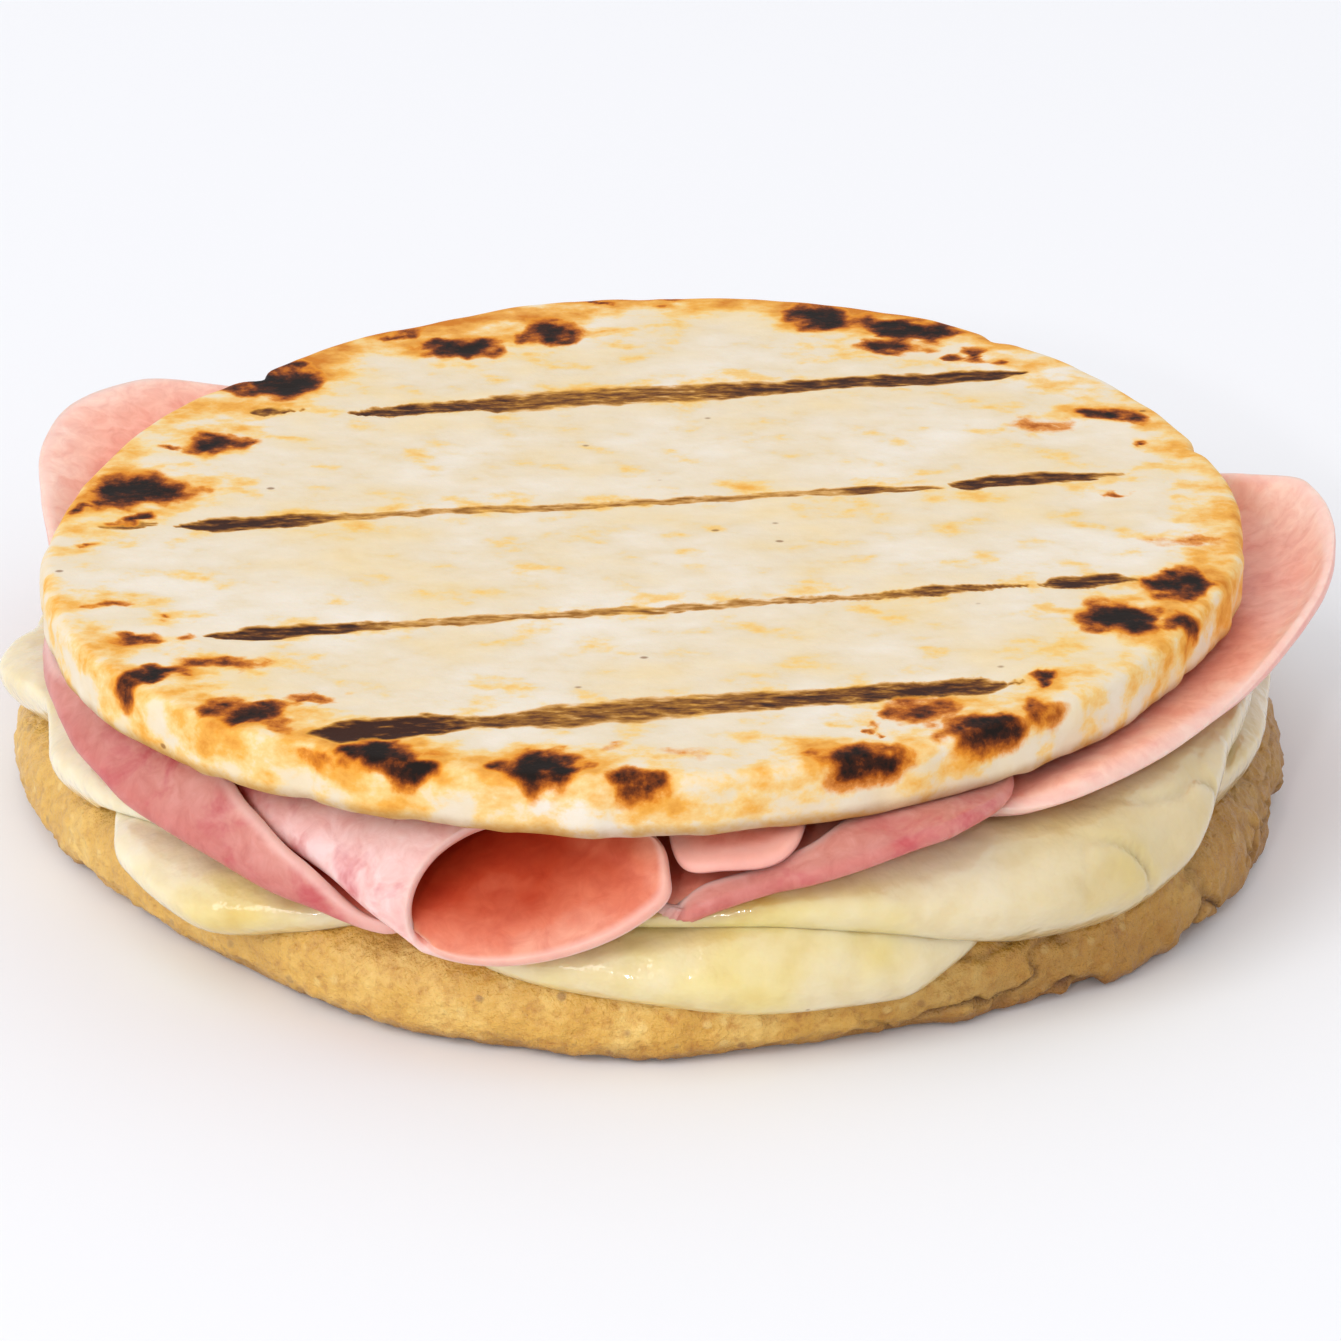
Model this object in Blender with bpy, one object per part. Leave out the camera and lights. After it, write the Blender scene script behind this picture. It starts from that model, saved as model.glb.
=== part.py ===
"""Stuffed corn cake: a grilled white corn cake on a yellow one, with two melted
sheets of cheese and folded slices of cooked ham between them.

Every piece is worked out in millimetres round the middle of the lower cake's
underside.  Azimuth runs from +X towards +Y, so the front of the sandwich is at
-90 degrees.  Over the lower cake's rim, the fillings are laid out on rays from a
ring inside that rim: a ray has an azimuth, a tilt (0 level, 90 straight up) and a
reach, and each layer starts a small gap outside the layer below it.
"""
import bmesh
import bpy
import numpy as np

MM = 0.001

# Driving dimensions, in millimetres and degrees.
GAP = 0.35                  # clearance between touching pieces
LOWER_RADIUS = 62.8
LOWER_THICKNESS = 9.4
UPPER_RADIUS = 59.3
UPPER_THICKNESS = 6.2
UPPER_UNDERSIDE = 22.6
UPPER_OFFSET = (-1.4, -2.4)  # the upper cake sits a little left and to the front
HAM = 1.3                   # thickness of a ham slice
SLICE_SHARE = 0.55          # of it lies to each side of the middle surface, at most
BED_GAP = 0.49              # clearance of the right slice over the cheese
STEP_DOWN = (3.0, 12.5)     # where the left slice leaves the right one, past its edge
SHELF = 8.0                 # the ring that rays start from lies this far inside the rim
FOOT = 3.0                  # and this high
CHEESE_CENTRE = 15.4        # top of the cheese in the middle
LEVEL_SHARE = 0.8           # fillings are level over this share of the ring
BELLY_POWER = 3.2           # squareness of the cheese's shoulder
SEGMENTS = 64               # steps round the sandwich
AZIMUTH = -180 + 360 * np.arange(SEGMENTS) / SEGMENTS

# Cheese sheets: azimuth, belly, rise, tilt of the drooping edge, lift of the edge.
LOWER_CHEESE = (
    (-180, 8.8, 8.4, 74, 0), (-160, 9.0, 8.4, 72, 0), (-151, 10.2, 8.8, 50, 0),
    (-147, 11.6, 9.0, 34, 0), (-143, 12.6, 9.2, 20, 0), (-133, 13.0, 9.2, 13, 0),
    (-123, 11.4, 8.6, 34, 0), (-110, 8.8, 8.0, 74, 0), (-105, 10.0, 8.2, 40, 0),
    (-92, 10.8, 10.2, 24, 0), (-80, 10.8, 11.6, 13, 0), (-70, 10.6, 11.6, 12, 0),
    (-64, 10.0, 11.2, 28, 0), (-58, 9.6, 11.0, 48, 0),
    (-42, 9.6, 12.4, 58, 0), (-30, 9.4, 12.6, 54, 0), (-18, 9.2, 12.6, 50, 0),
    (15, 9.6, 10.0, 54, 0), (37, 10.4, 9.6, 22, 0), (66, 9.4, 9.6, 52, 0),
    (98, 10.8, 9.8, 18, 0), (128, 9.4, 9.4, 50, 0), (148, 10.0, 9.4, 32, 0),
    (165, 9.2, 8.8, 52, 0))
UPPER_CHEESE = (
    (-178, 9.8, 11.2, 38, 1.5), (-168, 9.8, 11.2, 56, 0), (-158, 10.2, 11.2, 38, 0),
    (-150, 11.4, 11.2, 43, 0), (-140, 12.2, 10.6, 52, 0), (-118, 10.0, 9.4, 72, 0),
    (-106, 9.6, 9.4, 74, 0), (-96, 10.6, 10.0, 64, 0), (-88, 11.4, 12.2, 58, 0),
    (-80, 12.2, 14.4, 53, 0), (-72, 12.4, 15.2, 46, 0), (-60, 12.8, 15.4, 33, 0),
    (-50, 12.8, 15.9, 28, 0), (-42, 12.6, 16.8, 35, 0), (-36, 11.6, 17.0, 52, 0),
    (-28, 11.0, 16.8, 64, 0), (-10, 10.4, 16.0, 68, 0), (10, 10.4, 14.0, 60, 0),
    (30, 12.0, 12.6, 40, 0), (55, 11.6, 12.4, 50, 0), (80, 11.2, 12.4, 56, 0),
    (110, 12.2, 12.6, 36, 0), (135, 11.4, 12.0, 52, 0), (160, 11.0, 11.6, 50, 0),
    (175, 9.8, 11.2, 54, 0))
CHEESE_LEAST = 1.2          # a sheet's least thickness over the shoulder

# Ham slices: azimuth, bend radius and height, edge radius and height.
LEFT_SLICE = (
    (-180, 61.0, 17.5, 59.5, 19.6), (-160, 63.4, 18.2, 61.5, 21.0),
    (-149, 66.0, 16.8, 59.6, 21.6), (-141, 66.4, 15.2, 59.4, 21.6),
    (-132, 66.0, 14.0, 60.6, 21.4), (-127, 65.8, 13.4, 62.8, 20.4),
    (-121, 65.4, 12.6, 64.2, 17.6), (-113, 64.8, 12.2, 63.9, 12.9),
    (-107, 54.0, 14.0, 55.0, 14.0), (-100, 48.0, 15.0, 49.0, 15.0),
    (-96, 50.0, 15.0, 51.0, 15.0), (-89, 62.2, 14.3, 61.4, 15.9),
    (-86, 64.4, 16.2, 60.8, 17.7), (-81, 64.2, 17.8, 60.4, 19.0),
    (-77, 65.0, 18.7, 59.8, 20.3), (-73, 65.8, 19.8, 58.2, 21.7),
    (-67, 65.6, 21.4, 57.4, 21.9), (-62, 63.8, 21.8, 57.2, 21.9),
    (-58, 60.4, 21.7, 57.0, 21.8), (-54, 54.0, 21.5, 54.6, 21.6),
    (-49, 48.0, 21.0, 49.0, 21.1), (-44, 46.0, 20.0, 47.0, 20.0),
    (60, 48.0, 19.2, 49.0, 19.4),
    (112, 56.0, 19.0, 59.0, 19.6), (128, 59.0, 20.8, 61.0, 21.2),
    (135, 60.6, 21.2, 65.0, 22.8), (142, 61.6, 21.2, 71.2, 24.2),
    (149, 62.4, 21.2, 72.6, 24.6), (156, 62.4, 20.8, 70.6, 24.0),
    (164, 62.0, 20.0, 66.4, 22.4), (172, 61.0, 18.6, 62.6, 20.4))
RIGHT_SLICE = (
    (-180, 42.0, 16.4, 43.0, 16.4), (-100, 42.0, 16.2, 43.0, 16.2),
    (-74, 42.0, 16.4, 43.0, 16.4), (-66, 47.0, 18.4, 48.0, 18.4),
    (-61, 54.4, 19.25, 56.0, 19.25), (-56, 60.0, 20.4, 60.8, 19.8),
    (-51, 61.6, 21.9, 62.0, 20.5), (-45, 61.6, 22.1, 62.2, 20.8),
    (-38, 61.6, 22.2, 62.3, 21.1), (-30, 61.8, 22.2, 62.8, 21.9),
    (-20, 62.4, 22.1, 64.2, 23.8), (-12, 63.3, 21.8, 65.5, 25.2),
    (-4, 64.5, 21.5, 66.6, 26.0), (4, 64.2, 21.4, 67.2, 26.2),
    (11, 62.8, 21.2, 66.8, 26.0), (17, 60.8, 21.0, 63.0, 24.4),
    (26, 58.6, 20.6, 59.4, 21.2), (45, 61.6, 18.4, 63.8, 17.6),
    (72, 63.0, 17.6, 64.4, 15.8), (98, 61.0, 17.6, 62.6, 17.0),
    (112, 50.0, 16.4, 51.0, 16.4), (124, 42.0, 16.4, 43.0, 16.4))
FLAP_MIDDLE = (7.0, -46.5, 21.55)   # folded corner of a slice beside the roll
FLAP_HALF = (6.4, 15.2)
FLAP_SQUARE = 0.45           # 1 would make the flap an oval, 0 a rectangle
FLAP_DROOP = 2.4
# The roll: share of its length, middle in plan, half width in plan, bottom, top.
ROLL = (
    (0.0, -10.9, -61.8, 11.8, -0.6, 11.8, 21.5), (0.2, -15.0, -58.6, 11.2, 0.4, 13.6, 21.5),
    (0.45, -21.6, -53.0, 8.6, 2.6, 15.6, 21.5), (0.75, -30.4, -46.2, 6.0, 3.6, 17.6, 21.5),
    (1.0, -36.2, -39.4, 3.2, 3.6, 18.8, 21.3))
ROLL_TWIST = 2.5            # the mouth's right lip is higher than its left by twice this
ROLL_LEAN = 2.8             # and its top lies this much further in than its middle
ROLL_SET_BACK = 4.0         # and the mouth's top is set back this much further
ROLL_FULLNESS = 0.5         # 0 is an elliptical ring, more is fuller top right
ROLL_STEPS = 24


def wave(azimuth, folds, size, peak):
    return size * np.cos(np.radians(folds * (azimuth - peak)))


def ease(value, start, stop):
    step = np.clip((value - start) / (stop - start), 0.0, 1.0)
    return step * step * (3.0 - 2.0 * step)


def keyed(azimuth, keys, column):
    """Closed cubic through the keys' values that never overshoots them."""
    rows = np.array(sorted(keys), float)
    rows = np.vstack((rows[-2:], rows, rows[:2]))
    at, value = rows[:, 0], rows[:, column]
    at[:2] -= 360.0
    at[-2:] += 360.0
    slope = np.diff(value) / np.diff(at)
    rate = np.zeros_like(value)
    same = slope[:-1] * slope[1:] > 0
    total = np.where(same, slope[:-1] + slope[1:], 1.0)
    rate[1:-1] = np.where(same, 2 * slope[:-1] * slope[1:] / total, 0.0)
    x = (azimuth + 180.0) % 360.0 - 180.0
    i = np.clip(np.searchsorted(at, x, side="right") - 1, 0, len(at) - 2)
    span = at[i + 1] - at[i]
    t = (x - at[i]) / span
    near = (2 * t**3 - 3 * t**2 + 1) * value[i] + (t**3 - 2 * t**2 + t) * span * rate[i]
    far = (3 * t**2 - 2 * t**3) * value[i + 1] + (t**3 - t**2) * span * rate[i + 1]
    return near + far


def squircle(tilt, out, rise, power):
    """Reach of a rounded corner that is out wide when level and rise high upright."""
    level = np.maximum(np.cos(np.radians(tilt)), 1e-9)
    upright = np.maximum(np.sin(np.radians(tilt)), 1e-9)
    return ((level / out)**power + (upright / rise)**power)**(-1.0 / power)


def polar(azimuth, radius, height):
    angle = np.radians(azimuth)
    ring = np.zeros((len(azimuth), 3))
    ring[:, 0] = radius * np.cos(angle)
    ring[:, 1] = radius * np.sin(angle)
    ring[:, 2] = height
    return ring


def lower_rim(azimuth):
    return (LOWER_RADIUS + wave(azimuth, 2, 0.9, -6) + wave(azimuth, 3, 0.9, 44)
            + wave(azimuth, 5, 1.0, -35))


def upper_rim(azimuth):
    return (UPPER_RADIUS + wave(azimuth, 2, 2.1, 52) + wave(azimuth, 3, 0.8, -34)
            + wave(azimuth, 5, 0.3, 0))


def ray(azimuth, tilt, reach):
    inner = lower_rim(azimuth) - SHELF
    angle = np.radians(tilt)
    return polar(azimuth, inner + reach * np.cos(angle), FOOT + reach * np.sin(angle))


def cake_reach(azimuth, tilt):
    return squircle(tilt, SHELF, LOWER_THICKNESS - FOOT, 2.6) + 0.0 * azimuth


def sheet_reach(azimuth, tilt, keys, below):
    """Outer reach of a cheese sheet: its own belly, or CHEESE_LEAST above what is below."""
    own = squircle(tilt, keyed(azimuth, keys, 1), keyed(azimuth, keys, 2), BELLY_POWER)
    lowest = below + GAP + CHEESE_LEAST
    return lowest + 0.5 * (own - lowest + np.sqrt((own - lowest)**2 + 0.16))


def lower_cheese_reach(azimuth, tilt):
    return sheet_reach(azimuth, tilt, LOWER_CHEESE, cake_reach(azimuth, tilt))


def under_upper_cheese(azimuth, tilt):
    """The lower cheese where it is there, and the cake below its edge."""
    edge = keyed(azimuth, LOWER_CHEESE, 3)
    share = ease(tilt, edge - 24.0, edge - 2.0)
    cake = cake_reach(azimuth, tilt)
    return cake + share * (lower_cheese_reach(azimuth, tilt) - cake)


def upper_cheese_reach(azimuth, tilt):
    return sheet_reach(azimuth, tilt, UPPER_CHEESE, under_upper_cheese(azimuth, tilt))


def settled(azimuth, radius, rim_height, centre_height):
    """Height inside the ring: level, then straight up to the rim's height at the ring."""
    share = radius / (lower_rim(azimuth) - SHELF)
    climb = np.clip((share - LEVEL_SHARE) / (1.0 - LEVEL_SHARE), 0.0, 1.0)
    return centre_height + (rim_height - centre_height) * climb


def skin(name, rings):
    """Closed mesh through a bottom pole, rings of equal count, and a top pole."""
    mesh = bmesh.new()
    rows = [[mesh.verts.new(point * MM) for point in ring] for ring in rings]
    count = len(rows[1])
    for lower, upper in zip(rows[:-1], rows[1:]):
        for i in range(count):
            j = (i + 1) % count
            if len(lower) == 1:
                mesh.faces.new((lower[0], upper[j], upper[i]))
            elif len(upper) == 1:
                mesh.faces.new((lower[i], lower[j], upper[0]))
            else:
                mesh.faces.new((lower[i], lower[j], upper[j], upper[i]))
    bmesh.ops.recalc_face_normals(mesh, faces=mesh.faces)
    data = bpy.data.meshes.new(name)
    mesh.to_mesh(data)
    mesh.free()
    data.shade_smooth()
    piece = bpy.data.objects.new(name, data)
    bpy.context.scene.collection.objects.link(piece)
    return piece


def thicken(piece, thickness):
    solid = piece.modifiers.new("slice thickness", "SOLIDIFY")
    solid.thickness = thickness * MM
    solid.offset = 0.0


def finish(piece, colour, roughness):
    material = bpy.data.materials.new(piece.name)
    material.use_nodes = True
    shader = material.node_tree.nodes["Principled BSDF"]
    shader.inputs["Base Color"].default_value = (*colour, 1.0)
    shader.inputs["Roughness"].default_value = roughness
    shader.inputs["Metallic"].default_value = 0.0
    piece.data.materials.append(material)


def lower_cake():
    rim = lower_rim(AZIMUTH)
    rings = [np.zeros((1, 3)), polar(AZIMUTH, 0.5 * rim, 0.0)]
    for inset, height in ((3.4, 0.0), (0.9, 0.7), (0.0, FOOT)):
        rings.append(polar(AZIMUTH, rim - inset, height))
    for tilt in (22, 38, 52, 68, 90):
        rings.append(ray(AZIMUTH, tilt, cake_reach(AZIMUTH, tilt)))
    rings.append(np.array(((0.0, 0.0, LOWER_THICKNESS),)))
    piece = skin("cake_lower", rings)
    finish(piece, (0.69, 0.42, 0.13), 0.75)


def upper_cake():
    rim = upper_rim(AZIMUTH)
    top = UPPER_UNDERSIDE + UPPER_THICKNESS
    offset = np.array((*UPPER_OFFSET, 0.0))
    rings = [np.array(((0.0, 0.0, UPPER_UNDERSIDE),))]
    profile = ((1.6, UPPER_UNDERSIDE), (0.5, UPPER_UNDERSIDE + 0.5), (0.0, UPPER_UNDERSIDE + 1.7),
               (0.1, top - 2.1), (0.7, top - 0.7), (2.2, top - 0.1))
    for inset, height in profile:
        rings.append(polar(AZIMUTH, rim - inset, height))
    rings.append(np.array(((0.0, 0.0, top),)))
    piece = skin("cake_upper", [ring + offset for ring in rings])
    finish(piece, (0.82, 0.71, 0.55), 0.65)


def cheese_sheet(name, keys, below, outer, centre_low, centre_high):
    """Sheet between two reaches, closed in a bead along its drooping edge."""
    edge = keyed(AZIMUTH, keys, 3)
    lift = keyed(AZIMUTH, keys, 4)
    inner_rings, outer_rings = [], []
    for share in (0.0, 0.3, 0.58, 0.8, 0.93, 1.0):
        tilt = 90.0 + (edge - 90.0) * share
        raised = lift * ease(share, 0.3, 1.0)
        inside = below(AZIMUTH, tilt) + GAP + raised
        bead = np.sqrt(1.0 - max(0.0, (share - 0.8) / 0.2)**2)
        outside = inside + (outer(AZIMUTH, tilt) + raised - inside) * bead
        inner_rings.append(ray(AZIMUTH, tilt, inside))
        outer_rings.append(ray(AZIMUTH, tilt, outside))
    middle = LEVEL_SHARE * (lower_rim(AZIMUTH) - SHELF)
    rings = [np.array(((0.0, 0.0, centre_low),)), polar(AZIMUTH, middle, centre_low)]
    rings += inner_rings[:-1] + outer_rings[::-1]
    rings += [polar(AZIMUTH, middle, centre_high), np.array(((0.0, 0.0, centre_high),))]
    piece = skin(name, rings)
    finish(piece, (0.83, 0.69, 0.40), 0.35)


def cheese():
    split = 0.5 * (LOWER_THICKNESS + CHEESE_CENTRE)
    cheese_sheet("cheese_lower", LOWER_CHEESE, cake_reach, lower_cheese_reach,
                 LOWER_THICKNESS + GAP, split)
    cheese_sheet("cheese_upper", UPPER_CHEESE, under_upper_cheese, upper_cheese_reach,
                 split + GAP, CHEESE_CENTRE)


def cheese_cover(azimuth, tilt):
    """The upper cheese where it is there, and what lies under it below its edge."""
    edge = keyed(azimuth, UPPER_CHEESE, 3)
    share = ease(tilt, edge - 18.0, edge)
    under = under_upper_cheese(azimuth, tilt)
    return under + share * (upper_cheese_reach(azimuth, tilt) - under)


def right_level(azimuth, radius):
    """Height of the right slice's middle surface where it lies on the cheese."""
    rim_height = FOOT + upper_cheese_reach(azimuth, 90.0)
    return settled(azimuth, radius, rim_height, CHEESE_CENTRE) + BED_GAP + 0.5 * HAM


def left_level(azimuth, radius):
    """The left slice lies on the right one, then comes down beyond its edge."""
    past = radius - keyed(azimuth, RIGHT_SLICE, 3)
    return right_level(azimuth, radius) + (2.0 * GAP + HAM) * (1.0 - ease(past, *STEP_DOWN))


def outside_cheese(azimuth, radius, height):
    """Points moved out along their rays until a slice clears the cheese."""
    out = radius - (lower_rim(azimuth) - SHELF)
    tilt = np.degrees(np.arctan2(height - FOOT, np.maximum(out, 0.0)))
    reach = np.hypot(out, height - FOOT)
    least = cheese_cover(azimuth, tilt) + GAP + SLICE_SHARE * HAM
    more = np.where(out > 0.0, 0.5 * (least - reach + np.abs(least - reach)), 0.0)
    angle = np.radians(tilt)
    return radius + more * np.cos(angle), height + more * np.sin(angle)


def ham_slice(name, keys, level):
    """Slice with a floor and a rim that follows a Bezier through its bend to its edge."""
    bend_radius, bend_height = keyed(AZIMUTH, keys, 1), keyed(AZIMUTH, keys, 2)
    edge_radius, edge_height = keyed(AZIMUTH, keys, 3), keyed(AZIMUTH, keys, 4)
    ring_radius = lower_rim(AZIMUTH) - SHELF
    start = np.minimum(ring_radius, bend_radius - 2.0)
    floor = np.minimum(LEVEL_SHARE * ring_radius, start - 1.0)
    rings = [np.array(((0.0, 0.0, level(np.zeros(1), np.zeros(1))[0]),)),
             polar(AZIMUTH, floor, level(AZIMUTH, floor))]
    for t in (0.0, 0.3, 0.5, 0.66, 0.82, 1.0):
        first, middle, last = (1 - t)**3, 3 * t * (1 - t), t**3
        radius = first * start + middle * bend_radius + last * edge_radius
        height = first * level(AZIMUTH, start) + middle * bend_height + last * edge_height
        inside = ease(ring_radius - radius, 2.0, 8.0)
        height = height + inside * (level(AZIMUTH, radius) - height)
        rings.append(polar(AZIMUTH, *outside_cheese(AZIMUTH, radius, height)))
    piece = skin(name, rings)
    thicken(piece, HAM)
    finish(piece, (0.80, 0.42, 0.36), 0.45)


def ham_slices():
    ham_slice("ham_right", RIGHT_SLICE, right_level)
    ham_slice("ham_left", LEFT_SLICE, left_level)


def ham_flap():
    """Rounded corner of a slice, flat inside and drooping towards its front left."""
    turn = np.radians(np.arange(0, 360, 15))
    across, along = (np.sign(wave) * np.abs(wave)**FLAP_SQUARE
                     for wave in (np.cos(turn), np.sin(turn)))
    front = np.maximum(-np.sin(turn + 0.5), 0.0)
    rings = [np.array((FLAP_MIDDLE,))]
    for share in (0.45, 0.8, 1.0):
        ring = np.zeros((len(turn), 3))
        ring[:, 0] = FLAP_MIDDLE[0] + share * FLAP_HALF[0] * across
        ring[:, 1] = FLAP_MIDDLE[1] + share * FLAP_HALF[1] * along
        ring[:, 2] = FLAP_MIDDLE[2] - FLAP_DROOP * share**3 * front**2
        rings.append(ring)
    piece = skin("ham_flap", rings)
    thicken(piece, HAM)
    finish(piece, (0.78, 0.40, 0.36), 0.45)


def ham_roll():
    """Slice rolled into a horn: flattened rings from its closed tail to its mouth."""
    turn = 2 * np.pi * np.arange(ROLL_STEPS) / ROLL_STEPS
    keys = np.array(ROLL)
    above = np.maximum(np.sin(turn), 0.0)
    fuller = ROLL_FULLNESS * np.maximum(np.cos(turn - 0.25 * np.pi), 0.0)**2
    full = np.sin(turn) * (1.0 + fuller * np.cos(turn)**2)
    wide = np.cos(turn) * (1.0 + fuller * np.sin(turn)**2)
    rings = []
    for share in (1.0, 0.86, 0.7, 0.52, 0.34, 0.16, 0.0):
        x, y, across, along, bottom, top = (np.interp(share, keys[:, 0], column)
                                            for column in keys[:, 1:].T)
        ring = np.zeros((ROLL_STEPS, 3))
        ring[:, 0] = x + across * wide
        ring[:, 1] = y + along * wide + (1 - share) * (
            ROLL_LEAN * full + ROLL_SET_BACK * above**2)
        ring[:, 2] = 0.5 * (top + bottom) + 0.5 * (top - bottom) * full
        ring[:, 2] += ROLL_TWIST * (1 - share) * wide * ease(-full, -1.0, 0.6)
        rings.append(ring)
    tail = rings[0].mean(axis=0, keepdims=True)
    tail[0, :2] += rings[0].mean(axis=0)[:2] - rings[1].mean(axis=0)[:2]
    piece = skin("ham_roll", [tail, *rings])
    thicken(piece, HAM)
    finish(piece, (0.84, 0.50, 0.42), 0.45)


def main():
    for old in list(bpy.data.objects):
        bpy.data.objects.remove(old, do_unlink=True)
    lower_cake()
    cheese()
    ham_slices()
    ham_flap()
    ham_roll()
    upper_cake()


main()
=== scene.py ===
"""Looks of a griddled arepa sandwich: a charred white corn cake on folded cooked ham,
melted white cheese and a grainy yellow corn cake.

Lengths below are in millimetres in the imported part's own frame, and turned to metres
only when a mesh is made.  Azimuth runs from +X towards +Y, so the front is at -90
degrees.  Over the lower cake's rim, fillings lie on rays that start from a ring inside
that rim: a ray has an azimuth, a tilt (0 level, 90 straight up) and a reach.
"""
from math import cos, radians, sin

import bpy
import numpy as np
from bpy.props import FloatProperty, FloatVectorProperty, PointerProperty
from bpy.types import Operator, Panel, PropertyGroup
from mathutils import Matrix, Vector


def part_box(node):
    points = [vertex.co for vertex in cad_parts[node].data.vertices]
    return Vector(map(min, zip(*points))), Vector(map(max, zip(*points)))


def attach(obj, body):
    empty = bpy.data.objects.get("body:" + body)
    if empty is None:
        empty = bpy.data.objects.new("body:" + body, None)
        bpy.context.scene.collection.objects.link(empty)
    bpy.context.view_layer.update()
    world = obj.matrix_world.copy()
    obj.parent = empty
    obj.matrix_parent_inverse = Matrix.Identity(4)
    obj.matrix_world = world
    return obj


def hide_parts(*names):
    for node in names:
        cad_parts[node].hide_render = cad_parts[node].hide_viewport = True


bl_info = {
    "name": "Arepa sandwich",
    "version": (1, 0, 0),
    "blender": (4, 5, 0),
    "location": "View3D > Sidebar > Arepa",
    "description": "Corn cakes, melted cheese and folded ham with their finishes",
    "category": "Add Mesh",
}

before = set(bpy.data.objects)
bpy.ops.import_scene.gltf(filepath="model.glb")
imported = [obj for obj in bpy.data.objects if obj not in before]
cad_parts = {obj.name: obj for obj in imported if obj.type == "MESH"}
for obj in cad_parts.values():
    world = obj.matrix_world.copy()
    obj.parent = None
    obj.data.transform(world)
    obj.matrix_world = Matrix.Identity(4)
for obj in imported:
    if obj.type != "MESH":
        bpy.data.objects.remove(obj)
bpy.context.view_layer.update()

MM = 0.001


def node_size(name):
    """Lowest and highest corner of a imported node, in millimetres."""
    low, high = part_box(name)
    return np.array(low) / MM, np.array(high) / MM


LOWER_TOP = float(node_size("cake_lower")[1][2])
UPPER_LOW, UPPER_HIGH = (float(corner[2]) for corner in node_size("cake_upper"))

# How the layers lie on one another.
GAP = 0.35
BED_GAP = 0.49
STEP_DOWN = (3.0, 12.5)
HAM = 1.3
SHELF = 8.0
FOOT = 3.0
CHEESE_CENTRE = 15.4
LEVEL_SHARE = 0.8
BELLY_POWER = 3.2
CHEESE_LEAST = 1.2
LOWER_RADIUS = 62.8
UPPER_RADIUS = 59.3
UPPER_OFFSET = (-1.4, -2.4)

# Cheese sheets: azimuth, belly, rise, tilt of the drooping edge, lift of the edge.
LOWER_CHEESE = (
    (-180, 8.8, 8.4, 74, 0), (-160, 9.0, 8.4, 72, 0), (-151, 10.2, 8.8, 50, 0),
    (-147, 11.6, 9.0, 34, 0), (-143, 12.6, 9.2, 20, 0), (-133, 13.0, 9.2, 13, 0),
    (-123, 11.4, 8.6, 34, 0), (-110, 8.8, 8.0, 74, 0), (-105, 10.0, 8.2, 40, 0),
    (-92, 10.8, 10.2, 24, 0), (-80, 10.8, 11.6, 13, 0), (-70, 10.6, 11.6, 12, 0),
    (-64, 10.0, 11.2, 28, 0), (-58, 9.6, 11.0, 48, 0),
    (-42, 9.6, 12.4, 58, 0), (-30, 9.4, 12.6, 54, 0), (-18, 9.2, 12.6, 50, 0),
    (15, 9.6, 10.0, 54, 0), (37, 10.4, 9.6, 22, 0), (66, 9.4, 9.6, 52, 0),
    (98, 10.8, 9.8, 18, 0), (128, 9.4, 9.4, 50, 0), (148, 10.0, 9.4, 32, 0),
    (165, 9.2, 8.8, 52, 0))
UPPER_CHEESE = (
    (-178, 9.8, 11.2, 38, 1.5), (-168, 9.8, 11.2, 56, 0), (-158, 10.2, 11.2, 38, 0),
    (-150, 11.4, 11.2, 43, 0), (-140, 12.2, 10.6, 52, 0), (-118, 10.0, 9.4, 72, 0),
    (-106, 9.6, 9.4, 74, 0), (-96, 10.6, 10.0, 64, 0), (-88, 11.4, 12.2, 58, 0),
    (-80, 12.2, 14.4, 53, 0), (-72, 12.4, 15.2, 46, 0), (-60, 12.8, 15.4, 33, 0),
    (-50, 12.8, 15.9, 28, 0), (-42, 12.6, 16.8, 35, 0), (-36, 11.6, 17.0, 52, 0),
    (-28, 11.0, 16.8, 64, 0), (-10, 10.4, 16.0, 68, 0), (10, 10.4, 14.0, 60, 0),
    (30, 12.0, 12.6, 40, 0), (55, 11.6, 12.4, 50, 0), (80, 11.2, 12.4, 56, 0),
    (110, 12.2, 12.6, 36, 0), (135, 11.4, 12.0, 52, 0), (160, 11.0, 11.6, 50, 0),
    (175, 9.8, 11.2, 54, 0))

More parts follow.
